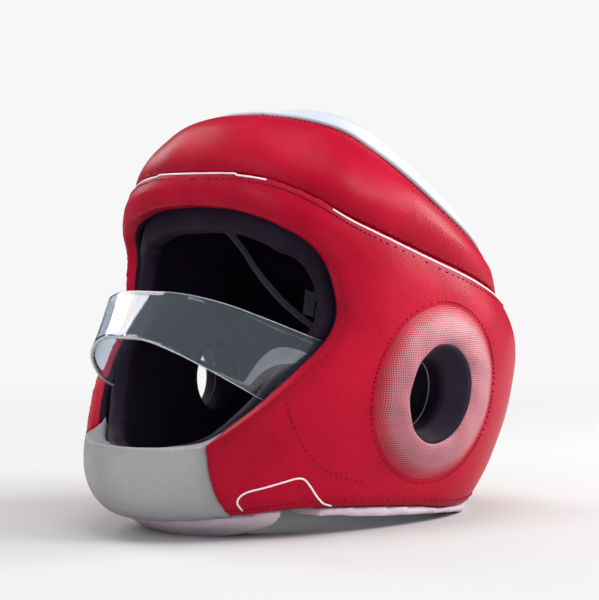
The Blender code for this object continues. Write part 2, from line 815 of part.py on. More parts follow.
def build():
    clear_scene()
    parts = collection("boxing_headgear")
    guides = collection("cutters")
    finish = finishes()
    cut = make_cutters(guides)

    lower = wall("shell_lower", 0.0, SHELL_WALL, parts, finish["red"])
    boolean(lower, cut["shell_zone"], "INTERSECT")
    boolean(lower, cut["shell_opening"])
    boolean(lower, cut["chin_space"])
    boolean(lower, cut["ear_holes"])

    upper = wall("shell_upper", 0.0, SHELL_WALL, parts, finish["red"])
    boolean(upper, cut["above_seam"], "INTERSECT")
    boolean(upper, cut["panel_space"])
    boolean(upper, cut["piping_groove"])

    panel = wall("crown_panel", 0.0, SHELL_WALL, parts, finish["white"])
    boolean(panel, cut["above_panel"], "INTERSECT")
    boolean(panel, cut["piping_groove"])
    tube("crown_piping", crown_piping_route(), CROWN_PIPING_DIAMETER, parts, finish["white"], cyclic=True)

    chin = wall("chin_pad", 0.0, SHELL_WALL, parts, finish["grey"])
    boolean(chin, cut["above_base"], "INTERSECT")
    boolean(chin, cut["chin_zone"], "INTERSECT")
    boolean(chin, cut["shell_opening"])

    underpad_inside = UNDERPAD_SETBACK + UNDERPAD_WIDTH
    underpad = wall("chin_underpad", UNDERPAD_SETBACK, underpad_inside, parts, finish["trim"])
    boolean(underpad, cut["below_base"], "INTERSECT")
    boolean(underpad, cut["underpad_ahead"], "INTERSECT")
    boolean(underpad, cut["underpad_round"], "INTERSECT")

    trim = wall("base_trim", TRIM_SETBACK, TRIM_SETBACK + TRIM_WIDTH, parts, finish["trim"])
    boolean(trim, cut["trim_zone"], "INTERSECT")
    boolean(trim, cut["trim_behind"], "INTERSECT")

    lining = wall("lining", LINING_DEPTH, LINING_DEPTH + LINING_WALL, parts, finish["black"])
    boolean(lining, cut["above_base"], "INTERSECT")
    boolean(lining, cut["lining_opening"])
    boolean(lining, cut["ear_holes"])
    boolean(lining, cut["visor_slot"])

    pad = wall("crown_pad", PAD_DEPTH, PAD_DEPTH + CROWN_PAD_WALL, parts, finish["black"])
    boolean(pad, cut["above_pad_edge"], "INTERSECT")
    boolean(pad, cut["lining_opening"])
    pad_piping = tube("pad_piping", pad_piping_route(), PAD_PIPING_DIAMETER, parts, finish["piping"])
    boolean(pad_piping, cut["lining_inside"])

    visor("visor", parts, finish["clear"])
    for name, side in (("left", 1), ("right", -1)):
        ear_ring("ear_ring_" + name, side, parts, cut, finish["mesh"])
        side_tab("side_tab_" + name, side, parts, cut, finish["piping"])


build()
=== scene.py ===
"""Boxing headgear dressed for rendering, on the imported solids.

Units are metres. The wearer faces -Y, their left is +X, and the headgear stands on z = 0.
Each padded section is the solids' own form on a finer grid, cut along the same edges, rounded,
and swollen between its seams. Stitches, piping and printed lines are laid on the result.
"""

import math

import bmesh
import bpy
import numpy as np
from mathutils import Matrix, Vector, noise
from mathutils.bvhtree import BVHTree
from mathutils.kdtree import KDTree


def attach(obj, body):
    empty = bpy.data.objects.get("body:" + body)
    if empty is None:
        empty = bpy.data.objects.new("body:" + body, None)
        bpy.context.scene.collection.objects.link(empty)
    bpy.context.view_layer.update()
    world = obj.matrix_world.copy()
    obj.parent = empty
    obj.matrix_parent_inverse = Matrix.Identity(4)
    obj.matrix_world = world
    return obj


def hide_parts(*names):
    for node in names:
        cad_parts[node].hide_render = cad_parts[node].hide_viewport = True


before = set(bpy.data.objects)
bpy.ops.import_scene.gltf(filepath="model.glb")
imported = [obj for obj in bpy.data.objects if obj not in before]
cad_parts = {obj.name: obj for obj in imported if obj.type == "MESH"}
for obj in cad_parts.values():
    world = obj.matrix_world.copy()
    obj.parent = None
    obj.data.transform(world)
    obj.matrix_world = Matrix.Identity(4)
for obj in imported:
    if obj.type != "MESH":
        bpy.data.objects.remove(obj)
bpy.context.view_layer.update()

# Driving sizes of the solids
HEIGHT = 0.290
LENGTH = 0.345
SHELL_WIDTH = 0.240
SHELL_WALL = 0.015
LINING_WALL = 0.014
CROWN_PAD_WALL = 0.009
GAP = 0.0003
FRAME_WIDTH = 0.015
FRAME_SIDE_SHARE = 0.40
FRAME_SIDE_RISE = (0.23, 0.45)
FRAME_BROW_RISE = (0.60, 0.74)
CHIN_PAD_WIDTH = 0.122
EAR_HOLE_CENTRE_Y = 0.004
EAR_CREST_CENTRE_Y = 0.019
EAR_RING_CENTRE_Y = 0.024
EAR_CENTRE_Z = 0.094
EAR_HOLE_LENGTH = 0.044
EAR_HOLE_HEIGHT = 0.054
EAR_CREST_LENGTH = 0.069
EAR_CREST_HEIGHT = 0.072
EAR_RING_LENGTH = 0.128
EAR_RING_HEIGHT = 0.124
EAR_RING_THICKNESS = 0.012
EAR_LEAN = 10.0
VISOR_THICKNESS = 0.0025
VISOR_CLEARANCE = 0.0016
VISOR_TUCK = 0.010
CROWN_PIPING_DIAMETER = 0.0036
PAD_PIPING_DIAMETER = 0.0050
TAB_WIDTH = 0.012
TAB_LENGTH = 0.028
TAB_THICKNESS = 0.0016
TRIM_WIDTH = 0.024
TRIM_SETBACK = 0.002
UNDERPAD_SETBACK = 0.004
UNDERPAD_WIDTH = 0.024
UNDERPAD_SPAN = 0.160
UNDERPAD_RISE = 0.016

# Ends of the pads along HALF_LENGTH and HEIGHT, and the tab's place and lean
CHIN_PAD_BACK = -0.30
CHIN_PAD_TOP = 0.40
TRIM_FRONT = -0.36
UNDERPAD_BACK = -0.50
TAB_ALONG = 0.585
TAB_UP = 0.505
TAB_LEAN = 0.25

# Grids of the form, of the visor and of the rounded sections
COLUMNS = 144
ROWS_DOWN = 84
VISOR_ROWS = 13
VISOR_COLUMNS = 60
SHELL_VOXEL = 0.0020
PAD_VOXEL = 0.0016
LINING_VOXEL = 0.0030
CLOTH_VOXEL = 0.0030

# How far leather swells between its seams and sinks at them
SWELL = 0.0022
SWELL_REACH = 0.016
SINK = 0.0010
SINK_REACH = 0.005
RIPPLE = 0.00035

# Laid detail
PROBE = 0.016
LINE_WIDTH = 0.0013
LINE_LIFT = 0.00015
EAR_LINE_DEPTH = 0.0075
LEATHER_TURN = 0.0095
STITCH_LENGTH = 0.0026
STITCH_PITCH = 0.0040
STITCH_DIAMETER = 0.0008
PRINT_DROP = 0.0034
SEAM_DROP = 0.0072
PANEL_STITCH_DROP = 0.0052
BASE_STITCH_RISE = 0.0050
MESH_PITCH = 0.0030
VISOR_RIM_RISE = 0.0004
# First angle and turn round the head, in degrees from +X
BASE_STITCH_ARC = (-52, 284)
PAD_PIPING_ARC = (-42, 264)
SIDES = (("left", 1), ("right", -1))

# Colours and gloss that several finishes share
RED = (0.43, 0.0030, 0.024)
LINING_BLACK = (0.012, 0.006, 0.017)
LEATHER_GLOSS = 0.08

# Studio: brightness of the background, of the floor and of what the gloss sees, and the lights
BACKGROUND = 0.93
FLOOR_TONE = 0.56
AMBIENT = 0.50
GLOSS_AMBIENT = 0.06
# name, place, width, height, power
LIGHTS = (
    ("light_right", (1.25, 0.75, 1.35), 0.8, 0.8, 20.0),
    ("light_left", (-1.30, -0.05, 0.95), 0.65, 0.75, 8.0),
    ("light_side", (1.50, -0.62, 0.08), 1.1, 0.30, 2.4),
    ("light_front", (-0.35, -1.90, 1.20), 0.8, 0.8, 12.0),
    ("light_back", (0.85, 1.70, 0.80), 0.6, 0.9, 32.0),
    ("light_top", (0.20, -0.10, 1.90), 1.2, 1.2, 13.0),
)

# Stretches of the printed line, in degrees round the head from +X
PRINT_STRETCHES = ((-132.0, -56.0), (-36.0, 216.0))

# Camera: about 1.5 m away, ahead of the wearer's left side
CAMERA_PLACE = (1.0677, -1.0532, 0.213)
CAMERA_PITCH = 2.20
CAMERA_TURN = 45.234
CAMERA_LENS = 125.19

HALF_LENGTH = LENGTH / 2
HALF_WIDTH = SHELL_WIDTH / 2
LINING_DEPTH = SHELL_WALL + GAP
PAD_DEPTH = LINING_DEPTH + LINING_WALL + GAP
FAR = 2 * LENGTH
MIDDLE = np.array([0.0, 0.01, 0.45 * HEIGHT])

# The form's sections, the last one below the base so that pieces can be cut flat at z = 0.
# height is a share of HEIGHT, front, back and middle are shares of HALF_LENGTH along Y, and
# half_width is a share of HALF_WIDTH. The powers set how square the front and back halves are,
# with 2 an ellipse.
# height, front, back, half_width, front_power, back_power, middle
SECTIONS = (
    (1.000, -0.078, -0.078, 0.000, 2.0, 2.0, -0.078),
    (0.990, -0.275, 0.061, 0.300, 2.1, 2.0, -0.078),
    (0.959, -0.426, 0.171, 0.517, 2.3, 2.1, -0.067),
    (0.914, -0.501, 0.215, 0.667, 2.6, 2.2, -0.043),
    (0.855, -0.555, 0.315, 0.817, 2.9, 2.3, -0.009),
    (0.793, -0.580, 0.445, 0.917, 3.1, 2.4, 0.026),
    (0.724, -0.608, 0.608, 0.967, 3.1, 2.5, 0.061),
    (0.648, -0.668, 0.738, 0.992, 2.8, 2.5, 0.084),
    (0.552, -0.780, 0.876, 1.000, 2.9, 2.5, 0.084),
    (0.431, -0.880, 1.000, 0.992, 2.8, 2.6, 0.084),
    (0.310, -0.945, 0.994, 0.967, 2.4, 2.6, 0.084),
    (0.214, -0.988, 0.942, 0.933, 2.1, 2.6, 0.084),
    (0.145, -1.000, 0.884, 0.900, 2.0, 2.6, 0.084),
    (0.090, -0.965, 0.826, 0.867, 2.0, 2.6, 0.084),
    (0.041, -0.878, 0.785, 0.833, 2.0, 2.6, 0.084),
    (0.000, -0.740, 0.762, 0.808, 2.0, 2.6, 0.084),
    (-0.035, -0.640, 0.742, 0.785, 2.0, 2.6, 0.084),
)

# Half of the face opening seen from the front: across of HALF_WIDTH, up of HEIGHT
FACE_OPENING = (
    (0.000, 0.772), (0.290, 0.765), (0.460, 0.752), (0.620, 0.733), (0.777, 0.695),
    (0.870, 0.647), (0.928, 0.583), (0.947, 0.517), (0.926, 0.450), (0.861, 0.386),
    (0.763, 0.325), (0.640, 0.268), (0.508, 0.226), (0.300, 0.220), (0.000, 0.219),
)

# Edges seen from the side: along as a share of HALF_LENGTH, up of HEIGHT
CROWN_SEAM = (
    (-1.400, 0.871), (-0.640, 0.859), (-0.540, 0.847), (-0.420, 0.793), (-0.300, 0.743),
    (-0.080, 0.689), (0.150, 0.641), (0.380, 0.599), (0.600, 0.561), (0.900, 0.521),
    (1.400, 0.461),
)
BASE_EDGE = (
    (-1.400, 0.035), (-0.900, 0.035), (-0.760, 0.050), (-0.480, 0.068), (-0.200, 0.063),
    (0.150, 0.046), (0.450, 0.028), (1.400, 0.028),
)
TRIM_EDGE = (
    (-1.400, 0.010), (-0.760, 0.020), (-0.360, 0.047), (-0.150, 0.037), (0.100, 0.027),
    (0.300, 0.018), (0.480, 0.008), (0.620, -0.006), (1.400, -0.060),
)
PAD_EDGE = (
    (-1.400, 0.815), (-0.420, 0.812), (-0.020, 0.770), (0.160, 0.705), (0.310, 0.610),
    (0.430, 0.550), (0.560, 0.500), (0.720, 0.450), (0.950, 0.420), (1.400, 0.410),
)

# Visor edges: x of HALF_WIDTH, y of HALF_LENGTH, z of HEIGHT
VISOR_TOP = (
    (0.000, -0.786, 0.569), (0.180, -0.780, 0.568), (0.350, -0.758, 0.560),
    (0.520, -0.700, 0.541), (0.660, -0.590, 0.508),
)
VISOR_BOTTOM = (
    (0.000, -0.936, 0.467), (0.170, -0.925, 0.464), (0.340, -0.885, 0.440),
    (0.500, -0.805, 0.400), (0.620, -0.690, 0.352),
)
VISOR_END_TOP = 0.455
VISOR_END_BOTTOM = 0.315

# Lower edge of the crown panel, seen from the side: it crosses the crown and falls to the back
PANEL_EDGE = (
    (-1.400, 1.300), (-0.360, 1.030), (-0.270, 0.990), (-0.160, 0.965), (-0.080, 0.938),
    (-0.020, 0.895), (0.060, 0.840), (0.155, 0.790), (0.300, 0.735), (0.500, 0.675),
    (0.750, 0.625), (1.050, 0.590), (1.400, 0.560),
)

# Stitched seam along the cheek and the printed outline on the jaw, seen from the side
CHEEK_SEAM = (
    (-0.592, 0.320), (-0.567, 0.283), (-0.516, 0.231), (-0.427, 0.175), (-0.321, 0.145),
    (-0.219, 0.126),
)
JAW_PRINT = (
    (-0.672, 0.072), (-0.700, 0.092), (-0.700, 0.108), (-0.676, 0.120), (-0.624, 0.128),
    (-0.545, 0.141), (-0.510, 0.146), (-0.480, 0.144), (-0.450, 0.128), (-0.410, 0.101),
    (-0.370, 0.080), (-0.325, 0.070),
)

# Section of the sleeve in an ear hole: across as in RING_PROFILE, then out from the shell
# and inset from the outline, in metres
SLEEVE_PROFILE = (
    (-0.16, 0.0106, 0.0003), (-0.20, 0.0116, 0.0007), (-0.34, 0.0102, 0.0012),
    (-0.62, 0.0070, 0.0018), (-0.85, 0.0050, 0.0021), (-1.00, 0.0036, 0.0023),
    (-1.00, 0.0000, 0.0026), (-1.00, -0.0290, 0.0026), (-1.00, -0.0290, 0.0004),
    (-1.00, -0.0040, 0.0004), (-0.60, 0.0040, 0.0000), (-0.30, 0.0080, 0.0000),
)

# Section of an ear ring: across from the hole (-1) over the crest (0) to the outer edge (1),
# rise as a share of EAR_RING_THICKNESS
RING_PROFILE = (
    (-0.38, 0.72), (-0.18, 0.90), (0.00, 0.98), (0.12, 1.00), (0.32, 0.93),
    (0.55, 0.74), (0.78, 0.46), (0.93, 0.20), (1.00, 0.00),
)


def through(rows, where):
    """A smooth curve through rows, whose first and last only guide it, read at where from 0."""
    where = np.clip(np.asarray(where, float), 0, len(rows) - 3 - 1e-9)
    first = where.astype(int)
    part = (where - first)[..., None]
    a, b, c, d = (rows[first + step] for step in range(4))
    bend = 2 * a - 5 * b + 4 * c - d
    turn = 3 * b - a - 3 * c + d
    return 0.5 * (2 * b + (c - a) * part + bend * part**2 + turn * part**3)


def spline(points, where):
    """A smooth curve through the points, read at where, from 0 to the last point's number."""
    points = np.asarray(points, float)
    return through(np.vstack([2 * points[0] - points[1], points, 2 * points[-1] - points[-2]]), where)


def smooth_line(table, scale, count):
    """A table's curve in metres, as count points."""
    return spline(table, np.linspace(0, len(table) - 1, count)) * np.array(scale)


def evenly(line, count):
    """The line again, as count points with the same distance between them."""
    steps = np.linalg.norm(np.diff(line, axis=0), axis=1)
    along = np.concatenate([[0.0], np.cumsum(steps)])
    at = np.linspace(0, along[-1], count)
    return np.stack([np.interp(at, along, line[:, axis]) for axis in range(line.shape[1])], -1)


ROWS = np.array(SECTIONS) * np.array([HEIGHT, HALF_LENGTH, HALF_LENGTH, HALF_WIDTH, 1, 1, HALF_LENGTH])


def sections_at(place):
    """The section at a place down the table, from 0 at the crown, which closes round."""
    apex, first = ROWS[0], ROWS[1]
    above = first.copy()
    above[1] = 2 * apex[1] - first[1]
    above[2] = 2 * apex[2] - first[2]
    above[3] = -first[3]
    return through(np.vstack([above, ROWS, 2 * ROWS[-1] - ROWS[-2]]), place)


def form(place, angle):
    """Points of the outer form: place runs down from the crown, angle round it from +X."""
    row = sections_at(place)
    across = np.cos(angle)
    along = np.sin(angle)
    ahead = along < 0
    reach = np.where(ahead, row[..., 6] - row[..., 1], row[..., 2] - row[..., 6])
    power = np.where(ahead, row[..., 4], row[..., 5])
    size = (np.abs(across) ** power + np.abs(along) ** power) ** (-1 / power)
    x = row[..., 3] * across * size
    y = row[..., 6] + reach * along * size
    return np.stack(np.broadcast_arrays(x, y, row[..., 0]), -1)


def inset_form(place, angle, depth):
    """The form's points, moved inward along its normal by depth, and the normals."""
    place = np.maximum(np.asarray(place, float), 1e-3)
    step = 1e-3
    down = form(place + step, angle) - form(place, angle)
    round_ = form(place, angle + step) - form(place, angle - step)
    normal = np.cross(down, round_)
    normal /= np.maximum(np.linalg.norm(normal, axis=-1, keepdims=True), 1e-12)
    return form(place, angle) - normal * depth, normal


def crossing(shape, first, is_above):
    """The places down the table, from first on, where is_above turns false."""
    low, high = np.full(shape, first), np.full(shape, len(ROWS) - 1.0)
    for _ in range(40):
        middle = (low + high) / 2
        above = is_above(middle)
        low = np.where(above, middle, low)
        high = np.where(above, high, middle)
    return (low + high) / 2


def place_of_height(z):
    """How far down the table a height lies."""
    return crossing(np.shape(z), 0.0, lambda place: sections_at(place)[..., 0] > z)


def point_on_form(across, up, depth, by="x", behind=False):
    """The form's point and normal at a height and an x on the front or the back, or a y on +X."""
    place = place_of_height(up)
    row = sections_at(place)
    if by == "x":
        share = np.clip(np.abs(across) / row[..., 3], 0, 1)
        power = row[..., 5] if behind else row[..., 4]
        rest = (1 - share**power) ** (1 / power)
        angle = np.arctan2(rest if behind else -rest, share * np.sign(across + 1e-12))
    else:
        ahead = across < row[..., 6]
        reach = np.where(ahead, row[..., 6] - row[..., 1], row[..., 2] - row[..., 6])
        power = np.where(ahead, row[..., 4], row[..., 5])
        share = np.clip((across - row[..., 6]) / reach, -1, 1)
        rest = (1 - np.abs(share) ** power) ** (1 / power)
        angle = np.arctan2(share, rest)
    return inset_form(place, angle, depth)


def edge_loop(table, rise=0.0, depth=0.0, count=720, start=-math.pi / 2, turn=2 * math.pi):
    """Where a side edge, moved up by rise, runs round the form, with its normals."""
    line = smooth_line(table, (HALF_LENGTH, HEIGHT), 200)
    angle = start + np.linspace(0, turn, count, endpoint=turn < 2 * math.pi)

    def is_above(place):
        point = form(place, angle)
        return point[:, 2] > np.interp(point[:, 1], line[:, 0], line[:, 1]) + rise

    return inset_form(crossing(count, 1.0, is_above), angle, depth)


def make_object(name, points, faces):
    """A mesh object whose faces point out."""
    mesh = bpy.data.meshes.new(name)
    mesh.from_pydata([tuple(map(float, point)) for point in points], [], faces)
    shape = bmesh.new()
    shape.from_mesh(mesh)
    bmesh.ops.recalc_face_normals(shape, faces=shape.faces)
    shape.to_mesh(mesh)
    shape.free()
    made = bpy.data.objects.new(name, mesh)
    bpy.context.scene.collection.objects.link(made)
    return made


def strip_faces(rows, columns, first=0, closed=True):
    """Faces of a grid of points, row by row."""
    faces = []
    for i in range(rows - 1):
        for j in range(columns if closed else columns - 1):
            a = first + i * columns + j
            b = first + i * columns + (j + 1) % columns
            faces.append((a, b, b + columns, a + columns))
    return faces


def slab(name, outer, inner):
    """A closed sheet between two equal grids of points."""
    rows, columns = outer.shape[:2]
    size = rows * columns
    faces = strip_faces(rows, columns, 0, closed=False) + strip_faces(rows, columns, size, closed=False)
    border = list(range(columns))
    border += [i * columns + columns - 1 for i in range(1, rows)]
    border += [(rows - 1) * columns + j for j in range(columns - 2, -1, -1)]
    border += [i * columns for i in range(rows - 2, 0, -1)]
    faces += [(a, b, size + b, size + a) for a, b in zip(border, border[1:] + border[:1])]
    return make_object(name, np.concatenate([outer.reshape(-1, 3), inner.reshape(-1, 3)]), faces)


def wall(name, outer_depth, inner_depth):
    """The form as a closed wall between two depths, open at the base."""
    places = np.linspace(0, len(ROWS) - 1, ROWS_DOWN)[1:]
    angles = np.arange(COLUMNS) * 2 * math.pi / COLUMNS
    points, faces = [], []
    for depth in (outer_depth, inner_depth):
        skin, _ = inset_form(places[:, None], angles[None, :], depth)
        start = len(points)
        points.append(form(0.0, 0.0) - np.array([0, 0, depth]))
        points.extend(skin.reshape(-1, 3))
        faces.extend((start, start + 1 + j, start + 1 + (j + 1) % COLUMNS) for j in range(COLUMNS))
        faces.extend(strip_faces(len(places), COLUMNS, start + 1))
    side = 1 + len(places) * COLUMNS
    edge = 1 + (len(places) - 1) * COLUMNS
    for j in range(COLUMNS):
        k = (j + 1) % COLUMNS
        faces.append((edge + j, edge + k, side + edge + k, side + edge + j))
    return make_object(name, points, faces)


def side_zone(name, low, high):
    """A block between two side outlines, across the whole headgear."""
    outline = list(low) + list(high[::-1])
    count = len(outline)
    points = [(x, y, z) for x in (-FAR, FAR) for y, z in outline]
    half = len(low)
    faces = [(i, (i + 1) % count, count + (i + 1) % count, count + i) for i in range(count)]
    for i in range(half - 1):
        j = count - 1 - i
        faces.append((i, i + 1, j - 1, j))
        faces.append((count + i, count + i + 1, count + j - 1, count + j))
    return make_object(name, points, faces)


def prism(name, ends):
    """A block between two equal outlines."""
    count = len(ends[0])
    faces = strip_faces(2, count) + [list(range(count)), list(range(count, 2 * count))]
    return make_object(name, ends[0] + ends[1], faces)


def front_zone(name, span):
    """A block with a bellied lower side, seen from the front, for the pad under the chin."""
    across = np.linspace(-1, 1, 41)
    outline = [(share * span / 2, UNDERPAD_RISE * abs(share) ** 4) for share in across]
    outline += [(span / 2, HEIGHT), (-span / 2, HEIGHT)]
    return prism(name, [[(x, y, z) for x, z in outline] for y in (-FAR, FAR)])


def block(name, low, high):
    corners = [(x, y, z) for x in (low[0], high[0]) for y in (low[1], high[1]) for z in (low[2], high[2])]
    faces = [(0, 1, 3, 2), (4, 5, 7, 6), (0, 1, 5, 4), (2, 3, 7, 6), (0, 2, 6, 4), (1, 3, 7, 5)]
    return make_object(name, corners, faces)


def rim_loop(inset, half_count=72):
    """The face opening's edge on the form, moved inward in the surface, and its normals."""
    half = smooth_line(FACE_OPENING, (HALF_WIDTH, HEIGHT), half_count)
    half[0, 0] = half[-1, 0] = 0.0
    loop = np.vstack([half, half[-2:0:-1] * np.array([-1, 1])])
    points, normals = point_on_form(loop[:, 0], loop[:, 1], 0.0)
    ahead = np.roll(points, -1, 0) - np.roll(points, 1, 0)
    inward = np.cross(normals, ahead)
    inward /= np.linalg.norm(inward, axis=1, keepdims=True)
    if np.sum((points.mean(0) - points) * inward) < 0:
        inward = -inward
    width = np.broadcast_to(inset, len(points))
    return points + inward * width[:, None], normals


def eased(value, low, high):
    """From 0 at low to 1 at high, smoothly."""
    share = np.clip((value - low) / (high - low), 0, 1)
    return share * share * (3 - 2 * share)


def frame_share(up):
    """The frame is full width over the brow, narrow beside the eyes and nothing at the chin."""
    beside = eased(up / HEIGHT, *FRAME_SIDE_RISE)
    over = eased(up / HEIGHT, *FRAME_BROW_RISE)
    return beside * (FRAME_SIDE_SHARE + (1 - FRAME_SIDE_SHARE) * over)


def opening_cutter(name, frame_width):
    """A plug that cuts the face opening square to the form's surface."""
    rim, _ = rim_loop(0.0)
    base, normals = rim_loop(frame_width * frame_share(rim[:, 2]))
    depth = SHELL_WALL + LINING_WALL + CROWN_PAD_WALL
    rings = [base + normals * 0.12 * LENGTH, base + normals * 0.002, base - normals * depth]
    count = len(base)
    points = [point for ring in rings for point in ring]
    level = base[:, 2].mean()
    points.append((0, -0.95 * LENGTH, level))
    points.append((0, base[:, 1].max(), level))
    faces = strip_faces(3, count)
    for j in range(count):
        faces.append((3 * count, j, (j + 1) % count))
        faces.append((3 * count + 1, 2 * count + j, 2 * count + (j + 1) % count))
    return make_object(name, points, faces)


def ear_outline(length, height, centre, count):
    """A leaning ellipse round the ear, as y and z."""
    turn = np.arange(count) * 2 * math.pi / count
    lean = math.radians(EAR_LEAN)
    along = length / 2 * np.cos(turn)
    up = height / 2 * np.sin(turn)
    y = centre + along * math.cos(lean) + up * math.sin(lean)
    z = EAR_CENTRE_Z + up * math.cos(lean) - along * math.sin(lean)
    return y, z


def ear_band(across, count, inset=0.0):
    """An outline at a share of the way from the hole over the crest to the ring's edge, on the form."""
    middle = (EAR_CREST_LENGTH, EAR_CREST_HEIGHT, EAR_CREST_CENTRE_Y)
    if across < 0:
        far = (EAR_HOLE_LENGTH, EAR_HOLE_HEIGHT, EAR_HOLE_CENTRE_Y)
    else:
        far = (EAR_RING_LENGTH, EAR_RING_HEIGHT, EAR_RING_CENTRE_Y)
    length, height, centre = np.array(middle) + abs(across) * (np.array(far) - np.array(middle))
    y, z = ear_outline(length - 2 * inset, height - 2 * inset, centre, count)
    return point_on_form(y, z, 0.0, by="y")


def ear_cutter(name):
    """One bar through both ear holes."""
    outline = list(zip(*ear_outline(EAR_HOLE_LENGTH, EAR_HOLE_HEIGHT, EAR_HOLE_CENTRE_Y, 96)))
    return prism(name, [[(x, y, z) for y, z in outline] for x in (-SHELL_WIDTH, SHELL_WIDTH)])


def visor_grid(rows, columns):
    """Points of the visor's outer face from end to end."""
    heights = np.linspace(VISOR_END_TOP, VISOR_END_BOTTOM, rows) * HEIGHT
    rim, _ = rim_loop(0.0)
    near = rim[rim[:, 0] > 0]
    near = near[np.argsort(near[:, 2])]
    rim_y = np.interp(heights, near[:, 2], near[:, 1])
    depth = SHELL_WALL + VISOR_CLEARANCE
    ends = [point_on_form(rim_y + step * VISOR_TUCK, heights, depth, by="y")[0] for step in (0.3, 1.0)]
    top = np.array(VISOR_TOP) * np.array([HALF_WIDTH, HALF_LENGTH, HEIGHT])
    bottom = np.array(VISOR_BOTTOM) * np.array([HALF_WIDTH, HALF_LENGTH, HEIGHT])
    lanes = []
    for row in range(rows):
        share = row / (rows - 1)
        lane = top * (1 - share) + bottom * share
        lane = np.vstack([lane, [end[row] for end in ends]])
        lanes.append(evenly(spline(lane, np.linspace(0, len(lane) - 1, 240)), columns))
    half = np.array(lanes)
    return np.concatenate([half[:, :0:-1] * np.array([-1, 1, 1]), half], 1)


def visor_skin():
    """The visor's outer face as a grid, its directions along and up, and its normals."""
    grid = visor_grid(VISOR_ROWS, VISOR_COLUMNS)
    across = np.gradient(grid, axis=1)
    down = np.gradient(grid, axis=0)
    normal = np.cross(down, across)
    normal /= np.linalg.norm(normal, axis=-1, keepdims=True)
    if normal[VISOR_ROWS // 2, VISOR_COLUMNS, 1] > 0:
        normal = -normal
    along = across / np.linalg.norm(across, axis=-1, keepdims=True)
    up = -down / np.linalg.norm(down, axis=-1, keepdims=True)
    return grid, along, up, normal


def visor_shell(name, extra=0.0):
    """The clear band. extra makes it thicker all round, for cutting its slot in the lining."""
    grid, along, up, normal = visor_skin()
    grid[0] += up[0] * extra
    grid[-1] -= up[-1] * extra
    grid[:, 0] -= along[:, 0] * extra
    grid[:, -1] += along[:, -1] * extra
    outer = grid + normal * (extra + 2.5 * VISOR_CLEARANCE if extra else 0.0)
    inner = grid - normal * (VISOR_THICKNESS + extra)
    return slab(name, outer, inner)


def apply_all(piece):
    """The piece with its modifiers turned into mesh."""
    graph = bpy.context.evaluated_depsgraph_get()
    mesh = bpy.data.meshes.new_from_object(piece.evaluated_get(graph))
    piece.modifiers.clear()
    piece.data = mesh
    return piece


def add_step(piece, name, kind, **values):
    """A modifier with its values."""
    step = piece.modifiers.new(name, kind)
    for key, value in values.items():
        setattr(step, key, value)


def cut(piece, *steps):
    """Cuts a piece with steps of a cutter's name in CUT and an operation."""
    for name, operation in steps:
        add_step(piece, name, "BOOLEAN", operation=operation, solver="MANIFOLD", object=CUT[name])
    return apply_all(piece)


def rounded(piece, voxel, passes):
    """The piece as an even fine mesh with rounded edges."""
    add_step(piece, "even", "REMESH", mode="VOXEL", voxel_size=voxel)
    add_step(piece, "round", "SMOOTH", factor=0.5, iterations=passes)
    return apply_all(piece)


def read_threes(items, name):
    flat = np.empty(len(items) * 3)
    items.foreach_get(name, flat)
    return flat.reshape(-1, 3)


def points_of(piece):
    return read_threes(piece.data.vertices, "co")


def put_points(piece, points):
    piece.data.vertices.foreach_set("co", np.ascontiguousarray(points).ravel())
    piece.data.update()


def note(piece, name, values):
    """Keeps a number for each vertex, which a material reads."""
    kept = piece.data.attributes.new(name, "FLOAT", "POINT")
    kept.data.foreach_set("value", np.asarray(values, np.float32))


def swell(piece, edges, rise=SWELL, reach=SWELL_REACH, sink=SINK, ripple=RIPPLE):
    """Swells the outer face between the edges and sinks it at them, with slight ripples."""
    tree = KDTree(len(edges))
    for i, point in enumerate(edges):
        tree.insert(point, i)
    tree.balance()
    points = points_of(piece)
    normals = read_threes(piece.data.vertex_normals, "vector")
    far = np.array([tree.find(point)[2] for point in points])
    outward = points - MIDDLE
    outward /= np.linalg.norm(outward, axis=1, keepdims=True)
    facing = np.clip(np.sum(outward * normals, 1) * 1.4, 0, 1)
    wave = np.array([noise.noise(Vector(point) * 38) for point in points])
    lift = rise * (1 - np.exp(-((far / reach) ** 2))) - sink * np.exp(-((far / SINK_REACH) ** 2))
    put_points(piece, points + normals * ((lift + ripple * wave) * facing)[:, None])
    # Nearness to the seams and edges on the outer face: the leather paints shade and dulls its gloss there
    note(piece, "edge", np.exp(-((far / (1.4 * SINK_REACH)) ** 2)) * facing)
    return piece


def swell_cloth(piece, cap):
    """Swells a pad with a cloth simulation, moving no point further than cap."""
    add_step(piece, "even", "REMESH", mode="VOXEL", voxel_size=CLOTH_VOXEL)
    apply_all(piece)
    before = points_of(piece)
    scene = bpy.context.scene
    cloth = piece.modifiers.new("cloth", "CLOTH")
    cloth.settings.use_pressure = True
    cloth.settings.uniform_pressure_force = 4.0
    cloth.settings.effector_weights.gravity = 0.0
    cloth.settings.quality = 6
    for number in range(1, 21):
        scene.frame_set(number)
    graph = bpy.context.evaluated_depsgraph_get()
    swollen = bpy.data.meshes.new_from_object(piece.evaluated_get(graph))
    move = read_threes(swollen.vertices, "co") - before
    size = np.maximum(np.linalg.norm(move, axis=1, keepdims=True), 1e-9)
    piece.modifiers.clear()
    bpy.data.meshes.remove(swollen)
    put_points(piece, before + move * np.minimum(1, cap / size))
    scene.frame_set(1)
    add_step(piece, "finer", "SUBSURF", levels=2, render_levels=2)
    return apply_all(piece)


def tree_of(piece):
    mesh = piece.data
    return BVHTree.FromPolygons([v.co for v in mesh.vertices], [p.vertices for p in mesh.polygons])


